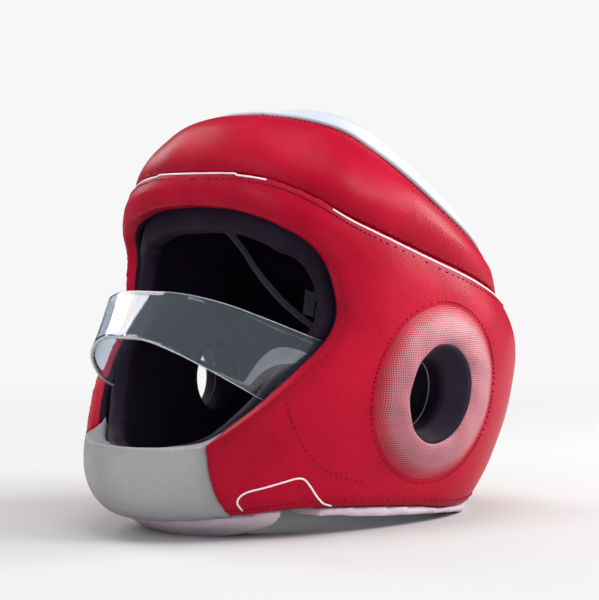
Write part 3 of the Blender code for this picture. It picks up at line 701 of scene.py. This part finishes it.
def lay(trees, points, normals, lift):
    """The points set down on the nearest of the surfaces and raised by lift, and their normals."""
    laid = []
    for point, normal in zip(points, normals):
        start = Vector(point + normal * PROBE)
        hits = [tree.ray_cast(start, -Vector(normal), 2 * PROBE) for tree in trees]
        hits = [hit for hit in hits if hit[0] is not None]
        laid.append(np.array(min(hits, key=lambda hit: hit[3])[0]) if hits else point)
    return np.array(laid) + normals * lift, normals


def frames_along(points, normals, closed):
    """Ahead, side and up directions along a route."""
    if closed:
        ahead = np.roll(points, -1, 0) - np.roll(points, 1, 0)
    else:
        ahead = np.gradient(points, axis=0)
    ahead /= np.maximum(np.linalg.norm(ahead, axis=1, keepdims=True), 1e-12)
    side = np.cross(ahead, normals)
    side /= np.maximum(np.linalg.norm(side, axis=1, keepdims=True), 1e-12)
    return ahead, side, np.cross(side, ahead)


def swept(name, runs, closed=False):
    """One mesh of rings of points, each run closed round or capped at its ends."""
    points, faces = [], []
    for run in runs:
        rings, sides = run.shape[:2]
        start = len(points)
        points.extend(run.reshape(-1, 3))
        faces.extend(strip_faces(rings, sides, start))
        last = start + (rings - 1) * sides
        if closed:
            for j in range(sides):
                k = (j + 1) % sides
                faces.append((last + j, last + k, start + k, start + j))
        else:
            faces.append([start + j for j in range(sides)])
            faces.append([last + j for j in range(sides)])
    made = make_object(name, points, faces)
    made.data.shade_smooth()
    return made


def circle(sides):
    turn = np.arange(sides) * 2 * math.pi / sides
    return np.stack([np.cos(turn), np.sin(turn)], -1)


def tube(name, points, normals, diameter, closed=False, sides=12):
    """A cord along a route, narrowed at its ends."""
    _, side, up = frames_along(points, normals, closed)
    size = np.full(len(points), diameter / 2)
    if not closed:
        size[[0, -1]] *= 0.35
        size[[1, -2]] *= 0.85
    ring = circle(sides)
    run = points[:, None] + size[:, None, None] * (
        side[:, None] * ring[None, :, :1] + up[:, None] * ring[None, :, 1:]
    )
    return swept(name, [run], closed)


def ribbon(name, points, normals, width, thickness):
    """A flat band along a route, its edges let into the surface."""
    _, side, up = frames_along(points, normals, False)
    shape = np.array([(-0.5, -0.6), (-0.42, 0.7), (0.0, 1.0), (0.42, 0.7), (0.5, -0.6), (0.0, -0.9)])
    shape = shape * np.array([width, thickness])
    run = points[:, None] + side[:, None] * shape[None, :, :1] + up[:, None] * shape[None, :, 1:]
    return swept(name, [run])


def stitches(name, points, normals, pitch=STITCH_PITCH, length=STITCH_LENGTH, diameter=STITCH_DIAMETER):
    """A row of short thread loops whose ends go into the surface."""
    total = np.linalg.norm(np.diff(points, axis=0), axis=1).sum()
    count = max(2, int(total / pitch))
    both = evenly(np.hstack([points, normals]), count)
    points, normals = both[:, :3], both[:, 3:]
    ahead, side, up = frames_along(points, normals, False)
    ring = circle(6) * diameter / 2
    # place along the stitch, size of the thread, height over the surface
    steps = ((-0.5, 0.45, -0.5), (-0.32, 0.95, 0.25), (0.0, 1.0, 0.45), (0.32, 0.95, 0.25),
             (0.5, 0.45, -0.5))
    runs = []
    for i in range(count):
        rings = []
        for at, size, rise in steps:
            centre = points[i] + ahead[i] * at * length + up[i] * rise * diameter
            rings.append(centre + size * (side[i] * ring[:, :1] + up[i] * ring[:, 1:]))
        runs.append(np.array(rings))
    return swept(name, runs)


def new_material(name, colour, roughness):
    """A material, its nodes, its shader and the place that its textures are read at."""
    made = bpy.data.materials.new(name)
    made.use_nodes = True
    shader = made.node_tree.nodes["Principled BSDF"]
    shader.inputs["Base Color"].default_value = (*colour, 1.0)
    shader.inputs["Roughness"].default_value = roughness
    place = made.node_tree.nodes.new("ShaderNodeTexCoord").outputs["Object"]
    return made, made.node_tree, shader, place


def add_node(tree, kind, **values):
    made = tree.nodes.new(kind)
    for name, value in values.items():
        if name in made.inputs.keys():
            made.inputs[name].default_value = value
        else:
            setattr(made, name, value)
    return made


def math_node(tree, operation, first, second):
    made = tree.nodes.new("ShaderNodeMath")
    made.operation = operation
    for socket, value in zip(made.inputs, (first, second)):
        if isinstance(value, (int, float)):
            socket.default_value = value
        else:
            tree.links.new(value, socket)
    return made.outputs[0]


def texture(tree, place, kind="Noise", **values):
    """A noise texture's factor, or a Voronoi texture's distance, at a place."""
    made = add_node(tree, "ShaderNodeTex" + kind, **values)
    tree.links.new(place, made.inputs["Vector"])
    return made.outputs[0]


def noted(tree, name):
    """A number that note() kept at the vertices."""
    return add_node(tree, "ShaderNodeAttribute", attribute_name=name).outputs["Fac"]


def side_place(tree, place):
    """The place's y and z."""
    split = tree.nodes.new("ShaderNodeSeparateXYZ")
    tree.links.new(place, split.inputs[0])
    return split.outputs[1], split.outputs[2]


def sine(tree, value, rate):
    return math_node(tree, "SINE", math_node(tree, "MULTIPLY", value, rate), 0)


def mixed_shader(tree, share, first, second):
    made = tree.nodes.new("ShaderNodeMixShader")
    for socket, value in zip(made.inputs, (share, first, second)):
        tree.links.new(value, socket)
    return made.outputs[0]


def mixed(tree, share, first, second):
    """A colour mixed from two by a share."""
    made = tree.nodes.new("ShaderNodeMix")
    made.data_type = "RGBA"
    for socket, value in ((made.inputs[0], share), (made.inputs[6], first), (made.inputs[7], second)):
        if isinstance(value, tuple):
            socket.default_value = (*value, 1.0)
        elif isinstance(value, (int, float)):
            socket.default_value = value
        else:
            tree.links.new(value, socket)
    return made.outputs[2]


def ranged(tree, value, low, high, to_low=0.0, to_high=1.0):
    made = add_node(tree, "ShaderNodeMapRange", interpolation_type="SMOOTHSTEP")
    tree.links.new(value, made.inputs[0])
    for socket, number in zip(list(made.inputs)[1:5], (low, high, to_low, to_high)):
        socket.default_value = number
    return made.outputs[0]


def shade(colour, share):
    return tuple(min(1.0, part * share) for part in colour)


def bumps(tree, shader, layers):
    """Bump layers of (height, strength, distance), one on the other."""
    last = None
    for height, strength, distance in layers:
        bump = tree.nodes.new("ShaderNodeBump")
        bump.inputs["Strength"].default_value = strength
        bump.inputs["Distance"].default_value = distance
        tree.links.new(height, bump.inputs["Height"])
        if last is not None:
            tree.links.new(last, bump.inputs["Normal"])
        last = bump.outputs[0]
    tree.links.new(last, shader.inputs["Normal"])


def leather(name, colour, roughness, grain=900, depth=0.00018, seam_shade=0.75, creased=0.22):
    """Coated leather: pebble grain, soft creases, uneven gloss, duller seams, and painted shade that
    darkens its colour along the seams and edges.
    """
    made, tree, shader, place = new_material(name, colour, roughness)
    shader.inputs["Specular IOR Level"].default_value = LEATHER_GLOSS
    cloudy = texture(tree, place, Scale=16, Detail=4)
    pebble = texture(tree, place, "Voronoi", Scale=grain, feature="SMOOTH_F1")
    crease = texture(tree, place, Scale=90, Detail=5, Distortion=0.6)
    edge = noted(tree, "edge")
    tone = mixed(tree, ranged(tree, cloudy, 0.35, 0.65), shade(colour, 0.86), shade(colour, 1.10))
    pore = ranged(tree, pebble, 0.25, 0.75)
    tone = mixed(tree, math_node(tree, "MULTIPLY", pore, 0.16), tone, shade(colour, 0.55))
    # Painted shade: the colour darkens along the seams and edges, where the surface sinks
    tone = mixed(tree, math_node(tree, "MULTIPLY", edge, 0.45), tone, shade(colour, seam_shade * 0.6))
    tone = mixed(tree, ranged(tree, noted(tree, "lined"), 0.94, 1.06), tone, LINING_BLACK)
    tree.links.new(tone, shader.inputs["Base Color"])
    gloss = ranged(tree, cloudy, 0.3, 0.7, roughness - 0.05, roughness + 0.07)
    gloss = math_node(tree, "ADD", gloss, math_node(tree, "MULTIPLY", edge, 0.08))
    tree.links.new(gloss, shader.inputs["Roughness"])
    bumps(tree, shader, [(crease, creased, 0.0007), (pebble, 0.5, depth)])
    return made


def knit(name, colour, roughness, scale=1500):
    """A smooth knit or woven cloth with fine crossing threads."""
    made, tree, shader, place = new_material(name, colour, roughness)
    cloudy = texture(tree, place, Scale=22, Detail=4)
    fuzz = texture(tree, place, Scale=scale, Detail=2)
    y, z = side_place(tree, place)
    weave = math_node(tree, "MULTIPLY", sine(tree, y, scale * 4), sine(tree, z, scale * 4))
    tone = mixed(tree, ranged(tree, cloudy, 0.3, 0.7), shade(colour, 0.7), shade(colour, 1.35))
    tone = mixed(tree, ranged(tree, fuzz, 0.45, 0.75, 0.0, 0.3), tone, shade(colour, 2.0))
    tree.links.new(tone, shader.inputs["Base Color"])
    shader.inputs["Sheen Weight"].default_value = 0.03
    shader.inputs["Specular IOR Level"].default_value = 0.1
    shader.inputs["Sheen Roughness"].default_value = 0.5
    bumps(tree, shader, [(cloudy, 0.2, 0.001), (weave, 0.35, 0.0001)])
    return made


def mesh_print(name, red, pale):
    """Red leather with a pale open-mesh print whose cells fade towards the ring's outer edge."""
    made, tree, shader, place = new_material(name, red, 0.5)
    y, z = side_place(tree, place)
    rate = 2 * math.pi / MESH_PITCH
    rising = sine(tree, math_node(tree, "ADD", y, z), rate)
    falling = sine(tree, math_node(tree, "SUBTRACT", y, z), rate)
    cells = math_node(tree, "MULTIPLY", rising, falling)
    cloudy = texture(tree, place, Scale=45, Detail=3)
    fade = ranged(tree, noted(tree, "across"), 0.50, 0.96, -0.25, 1.05)
    level = math_node(tree, "SUBTRACT", cells, fade)
    level = math_node(tree, "ADD", level, math_node(tree, "MULTIPLY", cloudy, 0.3))
    share = ranged(tree, level, 0.0, 0.30, 0.0, 0.75)
    tone = mixed(tree, ranged(tree, cloudy, 0.35, 0.65), shade(red, 0.85), shade(red, 1.1))
    tone = mixed(tree, share, tone, pale)
    tree.links.new(tone, shader.inputs["Base Color"])
    grain = texture(tree, place, Scale=900, Detail=2)
    bumps(tree, shader, [(cells, 0.35, 0.0003), (grain, 0.3, 0.0002)])
    return made


def clear_sheet(name, colour):
    """Clear moulded plastic with faint smears in its gloss."""
    made, tree, shader, place = new_material(name, colour, 0.03)
    shader.inputs["Transmission Weight"].default_value = 0.965
    shader.inputs["IOR"].default_value = 1.46
    shader.inputs["Specular IOR Level"].default_value = 0.8
    smear = texture(tree, place, Scale=30, Detail=3)
    tree.links.new(ranged(tree, smear, 0.45, 0.75, 0.01, 0.03), shader.inputs["Roughness"])
    return made


def frosted(name, colour):
    """The cut edge of clear plastic: pale, rough and partly see-through."""
    made, tree, shader, place = new_material(name, colour, 0.35)
    shader.inputs["Transmission Weight"].default_value = 0.45
    scratch = texture(tree, place, Scale=260, Detail=3)
    tree.links.new(ranged(tree, scratch, 0.3, 0.7, 0.25, 0.5), shader.inputs["Roughness"])
    bumps(tree, shader, [(scratch, 0.3, 0.0002)])
    return made


# The seam factor of each leather sets how dark its painted shade along the seams is; lower is darker
FINISH = {
    "red_leather": leather("red_leather", RED, 0.38),
    "white_leather": leather("white_leather", (0.60, 0.63, 0.72), 0.40, seam_shade=1.1),
    "grey_leather": leather("grey_leather", (0.34, 0.335, 0.345), 0.46, grain=1100, seam_shade=1.3, creased=0.10),
    "trim_leather": leather("trim_leather", (0.62, 0.52, 0.60), 0.5, grain=1300, seam_shade=1.2),
    "black_lining": knit("black_lining", LINING_BLACK, 0.62),
    "grey_webbing": knit("grey_webbing", (0.24, 0.22, 0.26), 0.6, scale=1100),
    "mesh_fabric": mesh_print("mesh_fabric", RED, (0.40, 0.25, 0.29)),
    "clear_plastic": clear_sheet("clear_plastic", (0.72, 0.81, 0.93)),
}
RIM = frosted("clear_rim", (0.80, 0.84, 0.88))
PRINT = leather("white_print", (0.86, 0.82, 0.86), 0.35, seam_shade=1.2)
THREAD = knit("dark_red_thread", (0.19, 0.002, 0.012), 0.6)


def dress(piece, slot, nodes=(), finish=None):
    """Gives a piece its finish, hangs it on the root and hides the imported parts that it takes the place
    of.
    """
    piece.data.materials.clear()
    piece.data.materials.append(finish or FINISH[slot])
    piece.data.shade_smooth()
    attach(piece, "root")
    if nodes:
        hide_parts(*nodes)
    return piece


def mirrored(points):
    return points * np.array([-1, 1, 1])


def make_cutters():
    """The blocks that cut the form's walls into sections, by name."""
    count = 60
    along = (HALF_LENGTH, HEIGHT)
    seam = smooth_line(CROWN_SEAM, along, count)
    panel = smooth_line(PANEL_EDGE, along, count)
    base = smooth_line(BASE_EDGE, along, count)
    low = np.stack([base[:, 0], np.full(count, -0.3 * HEIGHT)], -1)
    high = np.stack([base[:, 0], np.full(count, 1.6 * HEIGHT)], -1)
    half_chin = CHIN_PAD_WIDTH / 2
    zones = {
        "above_seam": (side_zone, seam, high),
        "shell_zone": (side_zone, base, seam),
        "above_base": (side_zone, base, high),
        "trim_zone": (side_zone, smooth_line(TRIM_EDGE, along, count), base - [0, GAP]),
        "above_pad_edge": (side_zone, smooth_line(PAD_EDGE, along, count), high),
        "shell_opening": (opening_cutter, 0.0),
        "lining_opening": (opening_cutter, FRAME_WIDTH),
        "ear_holes": (ear_cutter,),
        "chin_zone": (block, (-half_chin, -FAR, low[0, 1]),
                      (half_chin, CHIN_PAD_BACK * HALF_LENGTH, CHIN_PAD_TOP * HEIGHT)),
        "above_panel": (side_zone, panel, high),
        "visor_slot": (visor_shell, 2 * GAP),
        "trim_behind": (block, (-FAR, TRIM_FRONT * HALF_LENGTH, 0.0), (FAR, FAR, HEIGHT)),
        "underpad_round": (front_zone, UNDERPAD_SPAN),
        "underpad_ahead": (block, (-FAR, -FAR, -FAR), (FAR, UNDERPAD_BACK * HALF_LENGTH, HEIGHT)),
        "below_base": (side_zone, low, base - [0, GAP]),
    }
    return {name: make(name, *values) for name, (make, *values) in zones.items()}


CUT = make_cutters()
KEEP = "INTERSECT"
TAKE = "DIFFERENCE"


def chin_edges():
    """The two upright seams between the chin pad and the cheeks."""
    up = np.linspace(0.03, 0.24, 60) * HEIGHT
    points, _ = point_on_form(np.full(60, CHIN_PAD_WIDTH / 2), up, 0.0)
    return np.vstack([points, mirrored(points)])


def line_with_black(piece, skin):
    """Notes how far each point lies behind the leather's turned edge, where black lining shows."""
    far = np.array([skin.find_nearest(Vector(point))[3] for point in points_of(piece)])
    note(piece, "lined", far / LEATHER_TURN)


def shells():
    """The red lower and upper sections, the chin pad and the crown panel."""
    rim, _ = rim_loop(0.0)
    seam, _ = edge_loop(CROWN_SEAM)
    base, _ = edge_loop(BASE_EDGE)
    panel_edge, _ = edge_loop(PANEL_EDGE)

    probe = wall("skin_probe", 0.0, 0.0002)
    skin = tree_of(probe)
    bpy.data.objects.remove(probe)

    lower = wall("shell_lower_soft", 0.0, SHELL_WALL)
    cut(lower, ("shell_zone", KEEP), ("shell_opening", TAKE),
        ("chin_zone", TAKE), ("ear_holes", TAKE))
    rounded(lower, SHELL_VOXEL, 4)
    swell(lower, np.vstack([rim, seam, base, chin_edges()]))
    line_with_black(lower, skin)
    dress(lower, "red_leather", ["shell_lower"])

    upper = wall("shell_upper_soft", 0.0, SHELL_WALL)
    cut(upper, ("above_seam", KEEP), ("above_panel", TAKE))
    rounded(upper, SHELL_VOXEL, 4)
    swell(upper, np.vstack([seam, panel_edge]), rise=1.2 * SWELL, reach=0.8 * SWELL_REACH)
    dress(upper, "red_leather", ["shell_upper"])

    panel = wall("crown_panel_soft", 0.0, SHELL_WALL)
    cut(panel, ("above_panel", KEEP))
    rounded(panel, SHELL_VOXEL, 6)
    swell(panel, panel_edge)
    dress(panel, "white_leather", ["crown_panel"])

    chin = wall("chin_pad_soft", 0.0, SHELL_WALL)
    cut(chin, ("above_base", KEEP), ("chin_zone", KEEP), ("shell_opening", TAKE))
    rounded(chin, PAD_VOXEL, 10)
    swell(chin, np.vstack([rim, base, chin_edges()]), rise=0.0016)
    dress(chin, "grey_leather", ["chin_pad"])
    return lower, upper, panel, chin


def base_pads():
    """The soft pad under the chin and the binding that the headgear stands on."""
    under = wall("chin_underpad_soft", UNDERPAD_SETBACK, UNDERPAD_SETBACK + UNDERPAD_WIDTH)
    cut(under, ("below_base", KEEP), ("underpad_ahead", KEEP), ("underpad_round", KEEP))
    swell_cloth(under, 0.0015)
    put_points(under, np.maximum(points_of(under), [-1, -1, 0.0]))
    dress(under, "trim_leather", ["chin_underpad"])

    trim = wall("base_trim_soft", TRIM_SETBACK, TRIM_SETBACK + TRIM_WIDTH)
    cut(trim, ("trim_zone", KEEP), ("trim_behind", KEEP))
    rounded(trim, SHELL_VOXEL, 3)
    dress(trim, "trim_leather", ["base_trim"])
    return under, trim


def inner_pads():
    """The black lining with its ear tunnels, and the pad over the top of the head."""
    lining = wall("lining_soft", LINING_DEPTH, LINING_DEPTH + LINING_WALL)
    cut(lining, ("above_base", KEEP), ("lining_opening", TAKE), ("ear_holes", TAKE))
    rounded(lining, LINING_VOXEL, 4)
    cut(lining, ("visor_slot", TAKE))
    dress(lining, "black_lining", ["lining"])

    pad = wall("crown_pad_soft", PAD_DEPTH, PAD_DEPTH + CROWN_PAD_WALL)
    cut(pad, ("above_pad_edge", KEEP), ("lining_opening", TAKE))
    rounded(pad, 0.0024, 6)
    dress(pad, "black_lining", ["crown_pad"])
    return lining, pad


def ear_pieces(name, side, shell_tree):
    """One ear ring, the sleeve in its hole, its piped inner edge and its stitches."""
    count = 128
    profile = spline(RING_PROFILE, np.linspace(0, len(RING_PROFILE) - 1, 36))
    profile = np.vstack([profile, [RING_PROFILE[0][0], 0.0]])
    rings = []
    for across, rise in profile:
        seat, _ = ear_band(across, count)
        ripple = 1 + 0.03 * np.sin(np.arange(count) * 2 * math.pi * 9 / count + 5 * across)
        x = seat[:, 0] + rise * ripple * EAR_RING_THICKNESS
        rings.append(np.stack([side * x, seat[:, 1], seat[:, 2]], -1))
    ring = swept("ear_ring_soft_" + name, [np.array(rings).transpose(1, 0, 2)], closed=True)
    note(ring, "across", np.tile(profile[:, 0], count))
    dress(ring, "mesh_fabric", ["ear_ring_" + name])

    mirror = np.array([side, 1, 1])
    sleeve_rings = []
    for across, out, inset in SLEEVE_PROFILE:
        seat, _ = ear_band(across, count, inset)
        sleeve_rings.append((seat + np.array([out, 0, 0])) * mirror)
    sleeve = swept("ear_sleeve_" + name, [np.array(sleeve_rings).transpose(1, 0, 2)], closed=True)
    dress(sleeve, "black_lining")

    inner, normals = ear_band(-1.0, count, 0.0028)
    inner = (inner - np.array([EAR_LINE_DEPTH, 0, 0])) * mirror
    dress(tube("ear_edge_" + name, inner, normals * mirror, 0.0009, closed=True, sides=8), "grey_webbing")

    outer, normals = ear_band(1.035, count)
    outer, normals = lay([shell_tree], outer * mirror, normals * mirror, 0.0)
    dress(stitches("ear_stitches_" + name, outer, normals, pitch=0.0036, length=0.0022), "red_leather",
          finish=THREAD)


def visor():
    """The clear shield with rounded edges."""
    made = visor_shell("visor_clear")
    add_step(made, "edge", "BEVEL", width=0.0005, segments=2, angle_limit=math.radians(50))
    apply_all(made)
    dress(made, "clear_plastic", ["visor"])
    made.data.set_sharp_from_angle(angle=math.radians(50))


def visor_edges():
    """The bright frosted rims of the visor's two long edges."""
    grid, _, up, normal = visor_skin()
    for name, row, sign in (("top", 0, 1), ("bottom", -1, -1)):
        middle = grid[row] - normal[row] * VISOR_THICKNESS / 2
        edge = ribbon("visor_rim_" + name, middle, sign * up[row], VISOR_THICKNESS, VISOR_RIM_RISE)
        dress(edge, "clear_plastic", finish=RIM)


def pipings():
    """The white cord round the crown panel and the double cord under the inner pad."""
    points, normals = edge_loop(PANEL_EDGE, count=900)
    dress(tube("crown_piping_cord", points, normals, CROWN_PIPING_DIAMETER, closed=True), "white_leather",
          ["crown_piping"])

    depth = LINING_DEPTH + LINING_WALL + 2 * GAP + 0.3 * PAD_PIPING_DIAMETER
    start, turn = (math.radians(angle) for angle in PAD_PIPING_ARC)
    nodes = ["pad_piping"]
    for number, drop in enumerate((0.25, 1.0)):
        points, normals = edge_loop(PAD_EDGE, -drop * PAD_PIPING_DIAMETER, depth, 360, start, turn)
        route = evenly(np.hstack([points, normals]), 200)
        cord = tube("pad_piping_" + "ab"[number], route[:, :3], route[:, 3:], 0.7 * PAD_PIPING_DIAMETER)
        dress(cord, "grey_webbing", nodes)
        nodes = ()


def part_of_loop(table, drop, first, last):
    """A stretch of a side edge's loop, between two angles in degrees from +X."""
    start, turn = math.radians(first), math.radians(last - first)
    return edge_loop(table, -drop, 0.0, 400, start, turn)


def on_side(table, count, side):
    """A side line set on the form, on the left or the right."""
    line = smooth_line(table, (HALF_LENGTH, HEIGHT), count)
    points, normals = point_on_form(line[:, 0], line[:, 1], 0.0, by="y")
    mirror = np.array([side, 1, 1])
    return points * mirror, normals * mirror


def printed(name, trees, points, normals):
    route = evenly(np.hstack([points, normals]), max(24, len(points)))
    points, normals = lay(trees, route[:, :3], route[:, 3:], LINE_LIFT)
    dress(ribbon(name, points, normals, LINE_WIDTH, 0.00025), "white_leather", finish=PRINT)


def sewn(name, trees, points, normals, finish):
    points, normals = lay(trees, points, normals, 0.0)
    dress(stitches(name, points, normals), "red_leather", finish=finish)


def prints(trees):
    """The fine white lines under the crown seam and the outlines on the jaw."""
    for number, (first, last) in enumerate(PRINT_STRETCHES):
        points, normals = part_of_loop(CROWN_SEAM, PRINT_DROP, first, last)
        printed("crown_print_" + "ab"[number], trees[:1], points, normals)
    for name, side in SIDES:
        printed("jaw_print_" + name, trees[:1], *on_side(JAW_PRINT, 90, side))


def seams(trees):
    """The stitched rows below the crown seam, along the cheeks and round the trim."""
    points, normals = edge_loop(CROWN_SEAM, -SEAM_DROP, count=1200)
    sewn("crown_stitches", trees[:1], points, normals, THREAD)
    points, normals = edge_loop(PANEL_EDGE, -PANEL_STITCH_DROP, count=1200)
    sewn("panel_stitches", trees[1:2], points, normals, THREAD)
    for name, side in SIDES:
        sewn("cheek_stitches_" + name, trees[:1], *on_side(CHEEK_SEAM, 120, side), THREAD)
    start, turn = (math.radians(angle) for angle in BASE_STITCH_ARC)
    points, normals = edge_loop(BASE_EDGE, BASE_STITCH_RISE, count=900, start=start, turn=turn)
    sewn("base_stitches", trees[:1], points, normals, THREAD)


def side_tab(name, side):
    """A flat webbing tab lying on the inner crown pad."""
    depth = PAD_DEPTH + CROWN_PAD_WALL
    y = np.linspace(-0.5, 0.5, 9) * TAB_WIDTH + TAB_ALONG * HALF_LENGTH
    z = np.linspace(0, 1, 19) * TAB_LENGTH + TAB_UP * HEIGHT
    across, up = np.meshgrid(y, z)
    lean = across + (up - up[0, 0]) * TAB_LEAN
    layers = []
    for extra in (GAP, TAB_THICKNESS):
        points, _ = point_on_form(lean, up, depth + extra, by="y")
        layers.append(points * np.array([side, 1, 1]))
    tab = slab("side_tab_web_" + name, *layers)
    add_step(tab, "edge", "BEVEL", width=0.0004, segments=2)
    dress(apply_all(tab), "grey_webbing", ["side_tab_" + name])


def stage():
    """A pale floor that turns into the background, soft studio lights and the camera."""
    size = 6.0
    ground = bpy.data.meshes.new("floor")
    corners = [(-size, -size, 0), (size, -size, 0), (size, size, 0), (-size, size, 0)]
    ground.from_pydata(corners, [], [(0, 1, 2, 3)])
    ground = bpy.data.objects.new("floor", ground)
    bpy.context.scene.collection.objects.link(ground)
    made, tree, shader, place = new_material("floor_paper", (FLOOR_TONE,) * 3, 0.9)
    shader.inputs["Specular IOR Level"].default_value = 0.1
    reach = tree.nodes.new("ShaderNodeVectorMath")
    reach.operation = "LENGTH"
    tree.links.new(place, reach.inputs[0])
    glow = add_node(tree, "ShaderNodeEmission", Color=(BACKGROUND,) * 3 + (1.0,))
    share = ranged(tree, reach.outputs["Value"], 0.25, 1.3)
    blend = mixed_shader(tree, share, shader.outputs[0], glow.outputs[0])
    tree.links.new(blend, tree.nodes["Material Output"].inputs["Surface"])
    ground.data.materials.append(made)

    world = bpy.data.worlds.new("studio")
    world.use_nodes = True
    tree = world.node_tree
    seen = tree.nodes["Background"]
    seen.inputs["Color"].default_value = (BACKGROUND,) * 3 + (1.0,)
    soft = add_node(tree, "ShaderNodeBackground", Color=(1, 1, 1, 1), Strength=AMBIENT)
    dim = add_node(tree, "ShaderNodeBackground", Color=(1, 1, 1, 1), Strength=GLOSS_AMBIENT)
    path = tree.nodes.new("ShaderNodeLightPath")
    lit = mixed_shader(tree, path.outputs["Is Glossy Ray"], soft.outputs[0], dim.outputs[0])
    direct = math_node(tree, "MAXIMUM", path.outputs["Is Camera Ray"], path.outputs["Is Transmission Ray"])
    blend = mixed_shader(tree, direct, lit, seen.outputs[0])
    tree.links.new(blend, tree.nodes["World Output"].inputs["Surface"])
    bpy.context.scene.world = world

    for name, place, width, height, power in LIGHTS:
        lamp = bpy.data.lights.new(name, "AREA")
        lamp.shape = "RECTANGLE"
        lamp.size = width
        lamp.size_y = height
        lamp.energy = power
        holder = bpy.data.objects.new(name, lamp)
        holder.location = place
        holder.visible_camera = False
        aim = Vector((0, 0, 0.14)) - Vector(place)
        holder.rotation_euler = aim.to_track_quat("-Z", "Y").to_euler()
        bpy.context.scene.collection.objects.link(holder)

    camera = bpy.data.objects.new("camera", bpy.data.cameras.new("camera"))
    camera.location = CAMERA_PLACE
    camera.rotation_euler = (math.radians(90 - CAMERA_PITCH), 0, math.radians(CAMERA_TURN))
    camera.data.sensor_width = 36
    camera.data.sensor_fit = "HORIZONTAL"
    camera.data.lens = CAMERA_LENS
    bpy.context.scene.collection.objects.link(camera)
    bpy.context.scene.camera = camera
    bpy.context.scene.view_settings.view_transform = "Standard"


stage()
lower, upper, panel, chin = shells()
trees = [tree_of(piece) for piece in (lower, upper, panel, chin)]
base_pads()
inner_pads()
for name, side in SIDES:
    ear_pieces(name, side, trees[0])
    side_tab(name, side)
visor()
visor_edges()
pipings()
prints(trees)
seams(trees)

for cutter in CUT.values():
    bpy.data.objects.remove(cutter, do_unlink=True)
